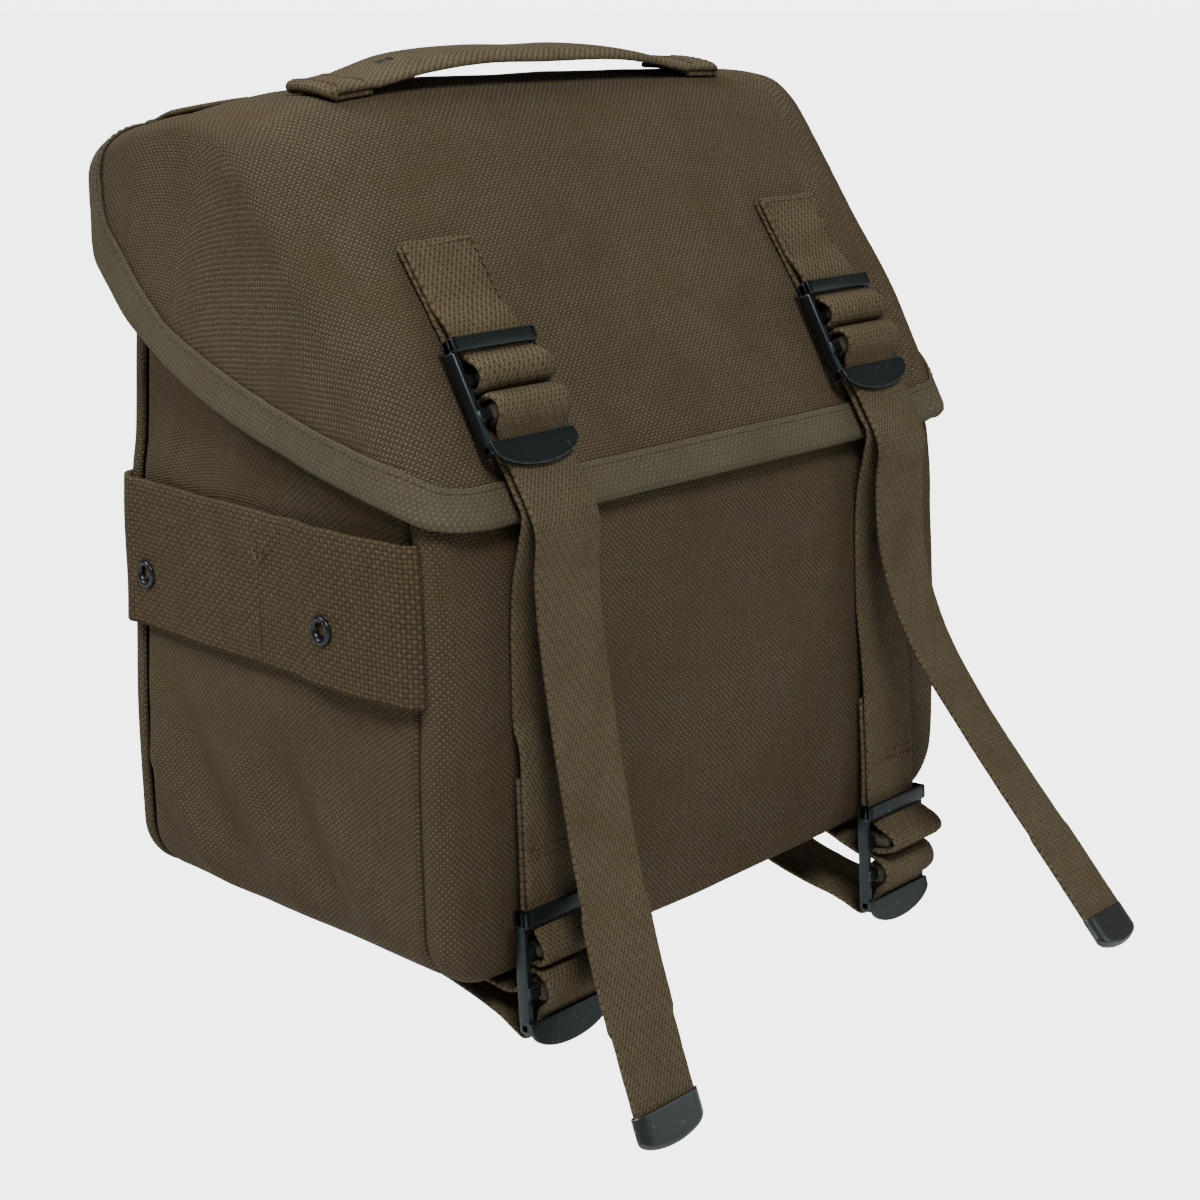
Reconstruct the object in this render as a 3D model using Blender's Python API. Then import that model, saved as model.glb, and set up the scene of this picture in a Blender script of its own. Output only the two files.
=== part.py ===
"""Belt bag of heavy canvas with a strapped flap. Lengths in metres, X to the right, front towards -Y, Z up."""

import math

import bmesh
import bpy
from mathutils import Vector

MM = 0.001

# Overall body
ORIGIN_HEIGHT = 165.0 * MM      # height of the frame's origin above the bottom of the bag
CANVAS = 2.0 * MM               # thickness of the body and flap cloth
GAP = 0.35 * MM                 # air between two pieces that lie on each other
CORNER_RADIUS = 17.0 * MM       # lower corners of the body
PILLOW_FRONT = 2.2 * MM         # how far the rim of the front panel curls back
PILLOW_BACK = 5.0 * MM          # how far the rim of the back panel curls forward
PILLOW_WIDTH = 11.0 * MM        # width of that curl
BOTTOM_SAG = 4.0 * MM           # the middle of the bottom hangs lower than its corners
SIDE_BULGE = 2.0 * MM
FRONT_BULGE = 1.5 * MM
FRONT_TOP = 200.0 * MM          # height of the upper edge of the front panel
BACK_TOP = 225.0 * MM           # height of the upper edge of the back panel

# Half width of the body at each height
HALF_WIDTH = [(0.0, 116.5), (20.0, 117.0), (55.0, 117.0), (83.0, 115.5), (127.0, 114.0), (140.0, 111.6), (168.0, 109.5),
              (205.0, 106.0), (235.0, 104.0)]
# Front face of the body: height and distance from the back
FRONT_FACE = [(-5.0, -141.0), (20.0, -141.5), (60.0, -140.5), (95.0, -139.0), (127.0, -136.5),
              (140.0, -130.0), (165.0, -114.5), (200.0, -91.0), (215.0, -84.0)]
# Upper edge of the side panels: share of the way to the back and height
MOUTH_EDGE = [(0.0, 196.0), (0.2, 212.0), (0.45, 229.0), (0.62, 230.5), (0.8, 224.0), (1.0, 213.0)]

# Flap
FOLD_RADIUS = 14.0 * MM         # the flap rolls over the sides of the bag on this radius
FOLD_START = 105.0 * MM         # half width of the flat part between the folds
CROWN = {-1: 6.5 * MM, 1: 3.0 * MM}   # the flat part is this much lower at the folds
CROWN_SHARE = [(0.0, 0.35), (0.12, 1.0), (0.5, 1.0), (0.75, 0.15), (1.0, 0.0)]
FLAP_LINE = [(0.0, 229.0), (-12.0, 235.5), (-30.0, 240.8), (-45.0, 242.5), (-57.0, 242.0), (-66.0, 239.8),
             (-75.0, 232.6), (-84.5, 220.3), (-100.5, 197.5), (-117.5, 172.7), (-129.1, 152.7), (-141.0, 132.3)]
# Lower edge of the side wings of the flap: share of the way along the flap, distance from the back, height
WING_EDGE = [(0.0, 1.5, 203.0), (0.06, 0.5, 194.0), (0.13, -4.0, 187.0), (0.23, -14.0, 176.5),
             (0.36, -30.0, 166.0), (0.49, -47.0, 157.5), (0.60, -64.0, 151.5), (0.70, -80.0, 147.0),
             (0.80, -98.0, 142.5), (0.90, -119.0, 138.3), (0.95, -129.2, 136.3), (1.0, -138.6, 131.6)]
# Rounding of the front corners: distance from the front edge, cloth taken off the wing
FRONT_CORNER = [(0.0, 14.5), (0.8, 8.0), (2.4, 3.6), (5.4, 1.0), (10.0, 0.0)]
BACK_CORNER = [(0.0, 6.0), (5.2, 1.2), (12.0, 0.0)]
BINDING_WIDTH = 10.0 * MM
BINDING_CLOTH = 0.9 * MM

# Straps
STRAP_WIDTH = 25.4 * MM
WEB = 2.0 * MM                  # thickness of the webbing
UPPER_STRAP_X = 77.0 * MM
LOWER_STRAP_X = 80.0 * MM
BAND_HEIGHT = 44.5 * MM
BAND_CENTRE = 105.0 * MM
BAND_THICK = 2.2 * MM
BAND_AIR = 0.5 * MM
LOOP_WIDTH = 38.0 * MM
LOOP_X = 48.0 * MM
TAB_WIDTH = 30.0 * MM
TAB_X = 84.0 * MM
TAB_SHARES = (-0.5, -0.17, 0.17, 0.5)
HANDLE_WIDTH = 21.0 * MM
HANDLE_RISE = 6.2 * MM

# Buckles, in their own frame: u runs down along the strap, n away from the bag
BUCKLE_HALF = 16.4 * MM
RAIL_WIDTH = 2.2 * MM
RAIL_DEPTH = 3.2 * MM
BUCKLE_LIFT = 3.2 * MM          # rails above the cloth they lie over
BAR_FRONT = 5.4 * MM
BAR_BACK = 3.9 * MM
CROSS_RADIUS = 1.6 * MM
CROSS_LEVEL = 1.5 * MM
FIRST_CROSS = 11.5 * MM
CROSS_STEP = 11.0 * MM          # from the first cross bar to the second
LIP_STEP = 8.5 * MM             # from the second cross bar to the lip
LIP_SEAT = 2.5 * MM             # the rails reach this far under the lip
LIP_DEPTH = 9.5 * MM
SECOND_CROSS = FIRST_CROSS + CROSS_STEP
LIP_START = SECOND_CROSS + LIP_STEP
LIP_END = LIP_START + LIP_DEPTH
RAIL_LENGTH = LIP_START + LIP_SEAT

EYELET_HOLE = 2.3 * MM
EYELET_BARREL = 2.75 * MM
EYELET_FLANGE = 4.2 * MM
EYELET_FRONT_Y = -98.5 * MM
EYELET_REAR_Y = -14.0 * MM
EYELET_HEIGHT = 99.0 * MM


def table(rows, key, column=1):
    """Straight-line reading of a table in millimetres."""
    if key <= rows[0][0]:
        return rows[0][column]
    for low, high in zip(rows, rows[1:]):
        if key <= high[0]:
            share = (key - low[0]) / (high[0] - low[0])
            return low[column] + share * (high[column] - low[column])
    return rows[-1][column]


def half_width(z):
    return table(HALF_WIDTH, z / MM) * MM


def smooth_line(points, step):
    """Catmull-Rom curve through the points, about one point for each step."""
    points = [Vector(p) for p in points]
    ends = [points[0] * 2 - points[1]] + points + [points[-1] * 2 - points[-2]]
    line = []
    for i in range(1, len(ends) - 2):
        a, b, c, d = ends[i - 1:i + 3]
        parts = max(1, round((c - b).length / step))
        for k in range(parts):
            t = k / parts
            line.append(0.5 * (2 * b + (c - a) * t + (2 * a - 5 * b + 4 * c - d) * t * t
                               + (3 * b - a - 3 * c + d) * t ** 3))
    line.append(points[-1])
    return line


def thin_line(line, turn=9.0, reach=14.0 * MM):
    """Leaves out points where the line is nearly straight."""
    kept = [line[0]]
    course = (line[1] - line[0]).normalized()
    for i in range(1, len(line) - 1):
        step = (line[i + 1] - line[i]).normalized()
        if math.degrees(course.angle(step)) > turn or (line[i] - kept[-1]).length > reach:
            kept.append(line[i])
            course = step
    kept.append(line[-1])
    return kept


def lift(points):
    return [Vector((p[0], p[1], p[2] - ORIGIN_HEIGHT)) for p in points]


def mesh_object(name, vertices, faces, material):
    mesh = bpy.data.meshes.new(name)
    mesh.from_pydata(lift(vertices), [], faces)
    obj = bpy.data.objects.new(name, mesh)
    bpy.context.scene.collection.objects.link(obj)
    bm = bmesh.new()
    bm.from_mesh(mesh)
    bmesh.ops.remove_doubles(bm, verts=bm.verts, dist=1e-6)
    bmesh.ops.recalc_face_normals(bm, faces=bm.faces)
    bm.to_mesh(mesh)
    bm.free()
    mesh.materials.append(material)
    return obj


def slab(name, outer, inner, material, wrap=False):
    """Closed body between two grids of points of the same size."""
    rows, columns = len(outer), len(outer[0])
    vertices = [p for row in outer for p in row] + [p for row in inner for p in row]
    shift = rows * columns
    faces = []
    for r in range(rows - 1 + wrap):
        for c in range(columns - 1):
            s = (r + 1) % rows
            quad = (r * columns + c, r * columns + c + 1, s * columns + c + 1, s * columns + c)
            faces.append(quad)
            faces.append(tuple(shift + k for k in reversed(quad)))
    for r in range(rows - 1 + wrap):
        s = (r + 1) % rows
        for c in (0, columns - 1):
            faces.append((r * columns + c, s * columns + c, shift + s * columns + c, shift + r * columns + c))
    if not wrap:
        for c in range(columns - 1):
            for r in (0, rows - 1):
                a = r * columns + c
                faces.append((a, a + 1, shift + a + 1, shift + a))
    return mesh_object(name, vertices, faces, material)


def grid_normals(grid):
    """Unit normals of a grid of points."""
    rows, columns = len(grid), len(grid[0])
    normals = []
    for r in range(rows):
        line = []
        for c in range(columns):
            along = grid[min(r + 1, rows - 1)][c] - grid[max(r - 1, 0)][c]
            across = grid[r][min(c + 1, columns - 1)] - grid[r][max(c - 1, 0)]
            line.append(across.cross(along).normalized())
        normals.append(line)
    return normals


def ribbon(name, path, material, width=STRAP_WIDTH, thick=WEB, turn=None):
    """Strap along a path of (x, y, z) points; turn gives the twist of the width in degrees at each point."""
    outer, inner = [], []
    for i, point in enumerate(path):
        tangent = (path[min(i + 1, len(path) - 1)] - path[max(i - 1, 0)]).normalized()
        angle = math.radians(turn[i]) if turn else 0.0
        across = Vector((math.cos(angle), math.sin(angle), 0.0))
        across = (across - tangent * across.dot(tangent)).normalized()
        normal = across.cross(tangent).normalized()
        half = across * (width / 2)
        outer.append([point - half + normal * (thick / 2), point + half + normal * (thick / 2)])
        inner.append([point - half - normal * (thick / 2), point + half - normal * (thick / 2)])
    return slab(name, outer, inner, material)


def plain_material(name, colour, roughness, metallic=0.0):
    material = bpy.data.materials.new(name)
    material.use_nodes = True
    shader = material.node_tree.nodes["Principled BSDF"]
    shader.inputs["Base Color"].default_value = (*colour, 1.0)
    shader.inputs["Roughness"].default_value = roughness
    shader.inputs["Metallic"].default_value = metallic
    return material


# Body panels

def outline_half(z):
    """Half width of a panel with rounded lower corners."""
    if z >= CORNER_RADIUS:
        return half_width(z)
    drop = CORNER_RADIUS - max(z, 0.0)
    return half_width(z) - CORNER_RADIUS + math.sqrt(max(CORNER_RADIUS ** 2 - drop ** 2, 0.0))


def sag(x, z):
    share = 1.0 - (x / half_width(0.0)) ** 2
    return BOTTOM_SAG * max(share, 0.0) * max(0.0, 1.0 - z / (60.0 * MM))


def rim_curl(x, z, depth):
    side = outline_half(z) - abs(x)
    edge = min(side, z)
    return depth * max(0.0, 1.0 - edge / PILLOW_WIDTH) ** 2


def front_y(x, z):
    bulge = FRONT_BULGE * max(0.0, 1.0 - (x / half_width(z)) ** 2) * math.sin(math.pi * min(max(z / FRONT_TOP, 0), 1))
    return table(FRONT_FACE, z / MM) * MM - bulge + rim_curl(x, z, PILLOW_FRONT)


def back_y(x, z):
    return -rim_curl(x, z, PILLOW_BACK)


PANEL_SHARES = [-1.0, -0.965, -0.92, -0.87, -0.65, -0.35, 0.0, 0.35, 0.65, 0.87, 0.92, 0.965, 1.0]


def panel(name, surface, top, side, material):
    rows = [0.0, 1.5, 4.0, 8.0, 12.5, 17.0, 35.0, 60.0, 90.0, 118.0, 140.0, 165.0, 185.0]
    heights = [h for h in rows if h < top / MM - 5.0] + [top / MM]
    outer, inner = [], []
    for h in heights:
        z = h * MM
        outer.append([])
        inner.append([])
        for share in PANEL_SHARES:
            x = share * outline_half(z)
            y = surface(x, z)
            level = z - sag(x, z)
            if side > 0:
                level -= crown(x, 0.0) * max(0.0, h - 185.0) / 40.0
            outer[-1].append(Vector((x, y, level)))
            inner[-1].append(Vector((x, y - side * CANVAS, level)))
    return slab(name, outer, inner, material)


def gusset(material):
    """Side, bottom and other side of the body in one strip."""
    path = []
    for k in (1.0, 0.86, 0.7, 0.55, 0.42, 0.3, 0.2, 0.1, 0.0):
        path.append(("side", k))
    for k in (18.0, 36.0, 54.0, 72.0):
        path.append(("corner", k))
    for share in (0.0, 0.18, 0.36):
        path.append(("bottom", share))
    full = [(-1, p) for p in path] + [(-1, ("bottom", 0.5))]
    full += [(1, p) for p in reversed(path)]
    shares = (0.0, 0.1, 0.25, 0.45, 0.62, 0.8, 0.92, 1.0)
    outer = []
    for share in shares:
        row = []
        mouth = table(MOUTH_EDGE, share) * MM
        for sign, (kind, k) in full:
            if kind == "side":
                z = CORNER_RADIUS + k * (mouth - CORNER_RADIUS)
                x = half_width(z) + SIDE_BULGE * math.sin(math.pi * share) * math.sin(math.pi * k)
            elif kind == "corner":
                angle = math.radians(k)
                z = CORNER_RADIUS * (1.0 - math.sin(angle))
                x = half_width(z) - CORNER_RADIUS * (1.0 - math.cos(angle))
            else:
                z = 0.0
                x = (half_width(0.0) - CORNER_RADIUS) * (1.0 - 2.0 * k)
            front = table(FRONT_FACE, z / MM) * MM + PILLOW_FRONT + CANVAS + GAP + 0.1 * MM
            back = -PILLOW_BACK - CANVAS - GAP
            y = front + share * (back - front)
            row.append(Vector((sign * x, y, z - sag(x, z))))
        outer.append(row)
    normals = grid_normals(outer)
    middle = Vector((0.0, -70.0 * MM, 100.0 * MM))
    sign = 1.0 if normals[3][3].dot(middle - outer[3][3]) > 0 else -1.0
    inner = [[p + n * sign * CANVAS for p, n in zip(points, line)] for points, line in zip(outer, normals)]
    return slab("gusset", outer, inner, material)


# Flap

FLAP_CURVE = smooth_line([(0.0, y * MM, z * MM) for y, z in FLAP_LINE], 4.0 * MM)
FLAP_WAY = [0.0]
for before, after in zip(FLAP_CURVE, FLAP_CURVE[1:]):
    FLAP_WAY.append(FLAP_WAY[-1] + (after - before).length)
FLAP_LENGTH = FLAP_WAY[-1]


def flap_profile(t):
    """Point, direction and outward normal in the middle plane, t metres from the back edge."""
    t = min(max(t, 0.0), FLAP_LENGTH)
    i = 0
    while i < len(FLAP_WAY) - 2 and FLAP_WAY[i + 1] < t:
        i += 1
    share = (t - FLAP_WAY[i]) / (FLAP_WAY[i + 1] - FLAP_WAY[i])
    point = FLAP_CURVE[i].lerp(FLAP_CURVE[i + 1], share)
    last = len(FLAP_CURVE) - 1
    low = FLAP_CURVE[min(i + 1, last)] - FLAP_CURVE[max(i - 1, 0)]
    high = FLAP_CURVE[min(i + 2, last)] - FLAP_CURVE[i]
    tangent = low.normalized().lerp(high.normalized(), share).normalized()
    return point, tangent, Vector((0.0, tangent.z, -tangent.y))


def crown(x, t):
    side = -1 if x < 0 else 1
    return CROWN[side] * min(abs(x) / FOLD_START, 1.0) ** 4 * table(CROWN_SHARE, t / FLAP_LENGTH)


def wing(t):
    """Direction from the flap line to the edge of the wing, and the distance."""
    way = t / FLAP_LENGTH
    edge = Vector((0.0, table(WING_EDGE, way, 1) * MM, table(WING_EDGE, way, 2) * MM))
    step = edge - flap_profile(t)[0]
    return step.normalized(), step.length


def wing_width(t):
    """Width of the wing along the cloth."""
    depth = wing(t)[1]
    if depth < FOLD_RADIUS:
        return FOLD_RADIUS * math.acos(1.0 - depth / FOLD_RADIUS)
    return FOLD_RADIUS * math.pi / 2 + depth - FOLD_RADIUS


def flap_point(a, t, off=0.0):
    """Point of the flap at a metres from the middle along the cloth, off metres outside it."""
    if off:
        d = 0.4 * MM
        du = flap_point(a + d, t) - flap_point(a - d, t)
        dt = flap_point(a, min(t + d, FLAP_LENGTH)) - flap_point(a, max(t - d, 0.0))
        return flap_point(a, t) + du.cross(dt).normalized() * -off
    point = flap_profile(t)[0]
    side = -1.0 if a < 0 else 1.0
    reach = abs(a)
    x = min(reach, FOLD_START)
    drop = crown(a, t)
    if reach > FOLD_START:
        step = wing(t)[0]
        over = reach - FOLD_START
        angle = min(over / FOLD_RADIUS, math.pi / 2)
        x += FOLD_RADIUS * math.sin(angle)
        depth = FOLD_RADIUS * (1.0 - math.cos(angle)) + max(over - FOLD_RADIUS * math.pi / 2, 0.0)
        drop *= math.cos(angle)
        point = point + step * depth
    return Vector((side * x, point.y, point.z - drop))


FLAP_ROWS = [0.0, 0.026, 0.06, 0.10, 0.16, 0.22, 0.28, 0.33, 0.37, 0.42, 0.48, 0.56, 0.65, 0.74, 0.82, 0.88, 0.92,
             0.95, 0.973, 0.988, 0.996, 1.0]
FLAP_SHARES = [0.0, 0.11, 0.22, 0.34, 0.45, 0.56, 0.68, 0.82, 1.0]


def flap_half(t):
    """Distance from the middle to the edge of the flap along the cloth."""
    cut = table(FRONT_CORNER, (FLAP_LENGTH - t) / MM) + table(BACK_CORNER, t / MM)
    return FOLD_START + wing_width(t) - cut * MM


def flap_columns(t):
    start = FOLD_START - 15.0 * MM
    width = flap_half(t) - start
    left = [-(start + width * (1.0 - s)) for s in FLAP_SHARES]
    middle = [start * k / 4.0 for k in range(-3, 4)]
    return left + middle + [-a for a in reversed(left)]


def flap(material):
    outer, inner = [], []
    for row in FLAP_ROWS:
        t = row * FLAP_LENGTH
        outer.append([flap_point(a, t) for a in flap_columns(t)])
        inner.append([flap_point(a, t, -CANVAS) for a in flap_columns(t)])
    return slab("flap", outer, inner, material)


def flap_edge():
    """Free edge of the flap in cloth coordinates, from the back on the left to the back on the right."""
    left = []
    for share in (0.1, 0.2, 0.35, 0.5, 0.65, 0.82):
        left.append((-(FOLD_START + (flap_half(0.0) - FOLD_START) * share), 0.0))
    for row in FLAP_ROWS:
        t = row * FLAP_LENGTH
        left.append((-flap_half(t), t))
    front = [(0.78 * FOLD_START * k / 3.0, FLAP_LENGTH) for k in range(-3, 4)]
    return left + front + [(-a, t) for a, t in reversed(left)]


def flap_binding(material):
    """Tape folded over the free edge of the flap."""
    edge = flap_edge()
    section_outer, section_inner = [], []
    air_gap = GAP + 0.65 * MM
    full = air_gap + BINDING_CLOTH
    for i, (a, t) in enumerate(edge):
        before, after = edge[max(i - 1, 0)], edge[min(i + 1, len(edge) - 1)]
        da, dt = after[0] - before[0], after[1] - before[1]
        size = math.hypot(da, dt)
        inward = (dt / size, -da / size)
        near = Vector(flap_point(a, t))
        inset = (a + inward[0] * BINDING_WIDTH, t + inward[1] * BINDING_WIDTH)
        half = (a + inward[0] * BINDING_WIDTH / 2, t + inward[1] * BINDING_WIDTH / 2)
        inside = flap_point(a + inward[0] * MM, t + inward[1] * MM)
        away = (near - inside).normalized()
        middle = flap_point(a, t, -CANVAS / 2)
        for line, air, round_off in ((section_outer, full, 0.5), (section_inner, air_gap, 1.0)):
            line.append([flap_point(*inset, air), flap_point(*half, air),
                         flap_point(a, t, air) + away * air * round_off, middle + away * air,
                         flap_point(a, t, -CANVAS - air) + away * air * round_off,
                         flap_point(*half, -CANVAS - air), flap_point(*inset, -CANVAS - air)])
    return slab("flap_binding", section_outer, section_inner, material)


# Buckles and straps

def frame_at_flap(t, x):
    """Buckle frame over the flap: origin on the rails' back, direction down the strap, normal."""
    point, tangent, normal = flap_profile(t)
    start = Vector((x, point.y, point.z - crown(x, t))) + normal * BUCKLE_LIFT
    ahead = flap_profile(t + 40.0 * MM)[0]
    down = (ahead - point).normalized()
    return start, down, Vector((0.0, down.z, -down.y))


UPPER_T = FLAP_LENGTH - 48.0 * MM
LOWER_HEIGHT = {-1: 21.0 * MM, 1: 6.5 * MM}
LOWER_FRONT = {-1: -147.3 * MM, 1: -147.6 * MM}
LOWER_DOWN = Vector((0.0, -0.07, -0.9975))


def frame_at_front(side):
    """Buckle frame of a lower buckle."""
    z = LOWER_HEIGHT[side]
    down = LOWER_DOWN.normalized()
    normal = Vector((0.0, down.z, -down.y))
    return Vector((side * LOWER_STRAP_X, LOWER_FRONT[side], z)), down, normal


def place(frame, u, n):
    start, down, normal = frame
    return start + down * (u * MM) + normal * (n * MM)


def box_mesh(frame, x0, x1, u0, u1, n0, n1):
    """Corners and faces of a box in a buckle frame; lengths in metres."""
    start, down, normal = frame
    right = Vector((1.0, 0.0, 0.0))
    points = []
    for n in (n0, n1):
        for x, u in ((x0, u0), (x1, u0), (x1, u1), (x0, u1)):
            points.append(start + right * x + down * u + normal * n)
    faces = [(0, 1, 2, 3), (7, 6, 5, 4), (0, 4, 5, 1), (1, 5, 6, 2), (2, 6, 7, 3), (3, 7, 4, 0)]
    return points, faces


def prism_mesh(frame, outline, n0, n1):
    """Plate with an outline given as (x, u) points."""
    start, down, normal = frame
    right = Vector((1.0, 0.0, 0.0))
    points = [start + right * x + down * u + normal * n0 for x, u in outline]
    points += [start + right * x + down * u + normal * n1 for x, u in outline]
    count = len(outline)
    faces = [tuple(range(count)), tuple(reversed(range(count, 2 * count)))]
    for i in range(count):
        j = (i + 1) % count
        faces.append((i, count + i, count + j, j))
    return points, faces


def rod_mesh(frame, u, n, radius, half):
    """Six-sided cross bar."""
    start, down, normal = frame
    right = Vector((1.0, 0.0, 0.0))
    points = []
    for x in (-half, half):
        for k in range(8):
            angle = math.radians(22.5 + 45.0 * k)
            points.append(start + right * x + down * (u + radius * math.cos(angle))
                          + normal * (n + radius * math.sin(angle)))
    faces = [tuple(range(8)), tuple(reversed(range(8, 16)))]
    faces += [(i, 8 + i, 8 + (i + 1) % 8, (i + 1) % 8) for i in range(8)]
    return points, faces


def join_solids(name, solids, material):
    """One body from overlapping solids."""
    objects = [mesh_object(name + "_piece", points, faces, material) for points, faces in solids]
    base = objects[0]
    base.name = name
    for other in objects[1:]:
        modifier = base.modifiers.new("join", "BOOLEAN")
        modifier.operation = "UNION"
        modifier.solver = "EXACT"
        modifier.object = other
    graph = bpy.context.evaluated_depsgraph_get()
    mesh = bpy.data.meshes.new_from_object(base.evaluated_get(graph))
    base.modifiers.clear()
    base.data = mesh
    for other in objects[1:]:
        bpy.data.objects.remove(other)
    return base


def buckle(name, frame, material):
    inner = BUCKLE_HALF - RAIL_WIDTH
    solids = []
    for x0, x1 in ((-BUCKLE_HALF, -inner), (inner, BUCKLE_HALF)):
        solids.append(box_mesh(frame, x0, x1, -1.0 * MM, RAIL_LENGTH, 0.0, RAIL_DEPTH))
        solids.append(box_mesh(frame, x0, x1, -1.9 * MM, 2.9 * MM, 0.6 * MM, BAR_BACK + 0.5 * MM))
        solids.append(box_mesh(frame, x0, x1, LIP_START + 0.2 * MM, RAIL_LENGTH + 1.0 * MM, 0.6 * MM,
                               BAR_BACK + 0.8 * MM))
    solids.append(box_mesh(frame, -BUCKLE_HALF - 0.1 * MM, BUCKLE_HALF + 0.1 * MM, -2.0 * MM, 3.0 * MM, BAR_BACK,
                           BAR_FRONT))
    reach = BUCKLE_HALF - 0.5 * RAIL_WIDTH
    solids.append(rod_mesh(frame, FIRST_CROSS, CROSS_LEVEL, CROSS_RADIUS, reach))
    solids.append(rod_mesh(frame, SECOND_CROSS, CROSS_LEVEL, CROSS_RADIUS, reach))
    lip = [(BUCKLE_HALF, LIP_START), (-BUCKLE_HALF, LIP_START)]
    for k in range(0, 13):
        angle = math.pi * k / 12
        lip.append((-BUCKLE_HALF * math.cos(angle),
                    LIP_START + 2.0 * MM + (LIP_END - LIP_START - 2.0 * MM) * math.sin(angle)))
    solids.append(prism_mesh(frame, lip, BAR_BACK + 0.5 * MM, BAR_FRONT + 0.4 * MM))
    return join_solids(name, solids, material)


FOLD_OVER_FIRST = [(-6.0, 0.95), (0.0, 1.3), (3.5, 2.4), (5.8, 4.8), (8.8, 7.2), (11.8, 7.7), (14.1, 6.1),
                   (14.8, 3.2), (14.5, 0.2), (12.6, -1.5), (9.2, -1.6)]
LOOSE_FOLD = [(-6.0, 0.95), (0.0, 1.3), (3.8, 2.2), (5.7, 5.5), (7.6, 9.8), (10.2, 12.2), (12.7, 10.8), (13.9, 7.0),
              (14.4, 3.2), (14.2, 0.2), (12.6, -1.5), (9.2, -1.6)]
FOLD_OVER_SECOND = [(25.5, -1.6), (20.6, -1.5), (17.8, 0.2), (17.2, 3.4), (18.0, 6.5), (20.8, 8.6), (24.2, 8.4),
                    (26.6, 6.3), (28.3, 4.1), (31.2, 2.75), (36.0, 2.65), (42.0, 3.2)]
TURN_BACK = FOLD_OVER_SECOND[3:-2] + [(34.2, 1.9), (36.6, 0.2), (36.6, -2.4)]


def upper_tab(name, side, material):
    """Webbing sewn to the flap and folded round the first cross bar of the upper buckle."""
    frame = frame_at_flap(UPPER_T, side * UPPER_STRAP_X)
    top = UPPER_T - 34.0 * MM
    x = side * UPPER_STRAP_X

    def over(t, off):
        point, _, normal = flap_profile(t)
        return Vector((x, point.y, point.z - crown(x, t))) + normal * off

    rear = GAP + 0.3 * MM + WEB / 2
    front = rear + WEB + 0.4 * MM
    path = [over(top + k * 7.0 * MM, front) for k in range(4)]
    path += [place(frame, u, n) for u, n in FOLD_OVER_FIRST]
    path += [place(frame, 3.0, -1.55)]
    path += [over(top + k * 7.0 * MM, rear) for k in (4, 3, 2, 1, 0)]
    return ribbon(name, thin_line(smooth_line(path, 1.6 * MM)), material)


def closure_strap(name, side, material):
    """Strap from the lower buckle over the edge of the flap to the upper buckle and its free end."""
    low, high = frame_at_front(side), frame_at_flap(UPPER_T, side * UPPER_STRAP_X)
    path = [place(low, -38.0, -1.5), place(low, -25.0, -1.55), place(low, -12.0, -1.6), place(low, 0.0, -1.6)]
    path += [place(low, u, n) for u, n in reversed(FOLD_OVER_FIRST if side < 0 else LOOSE_FOLD)]
    path += [place(low, -15.0, 0.95), place(low, -30.0, 0.95), place(low, -46.0, 0.9)]
    for z, y in ((74.0, -142.4), (88.0, -141.6), (102.0, -141.2), (114.0, -141.8)):
        path.append(Vector((side * UPPER_STRAP_X, y * MM, z * MM)))
    path.append(Vector((side * UPPER_STRAP_X, -143.9 * MM, 125.0 * MM)))
    edge, down, normal = flap_profile(FLAP_LENGTH)
    for back, off in ((-1.5, 3.85), (4.0, 3.8), (9.0, 3.6)):
        path.append(Vector((side * UPPER_STRAP_X, 0.0, 0.0)) + edge - down * (back * MM) + normal * (off * MM))
    path += [place(high, u, n) for u, n in [(34.6, 0.0), (30.0, -1.4)] + FOLD_OVER_SECOND]
    for p in path:
        share = min(max((p.z - 20.0 * MM) / (120.0 * MM), 0.0), 1.0)
        p.x = side * (LOWER_STRAP_X + share * (UPPER_STRAP_X - LOWER_STRAP_X))
    if side < 0:
        free = [(-149.7, 130.0), (-149.4, 118.0), (-150.2, 106.0), (-152.6, 90.0), (-157.2, 66.0), (-164.0, 36.0), (-171.5, 9.0),
                (-180.5, -16.0), (-187.2, -33.0)]
    else:
        free = [(-149.7, 130.0), (-149.4, 118.0), (-150.0, 107.0), (-151.8, 94.0), (-156.8, 79.0), (-165.5, 63.5), (-178.0, 48.0),
                (-196.5, 28.0), (-215.5, 8.5), (-234.0, -11.0)]
    path += [Vector((side * UPPER_STRAP_X, y * MM, z * MM)) for y, z in free]
    line = thin_line(smooth_line(path, 1.6 * MM))
    turn = [0.0] * len(line)
    if side > 0:
        loose = max(i for i, p in enumerate(line) if p.z > 128.0 * MM)
        for i in range(loose, len(line)):
            turn[i] = 14.0 * min(max((105.0 * MM - line[i].z) / (60.0 * MM), 0.0), 1.0)
    ribbon(name, line, material, turn=turn)
    return line, turn


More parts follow.
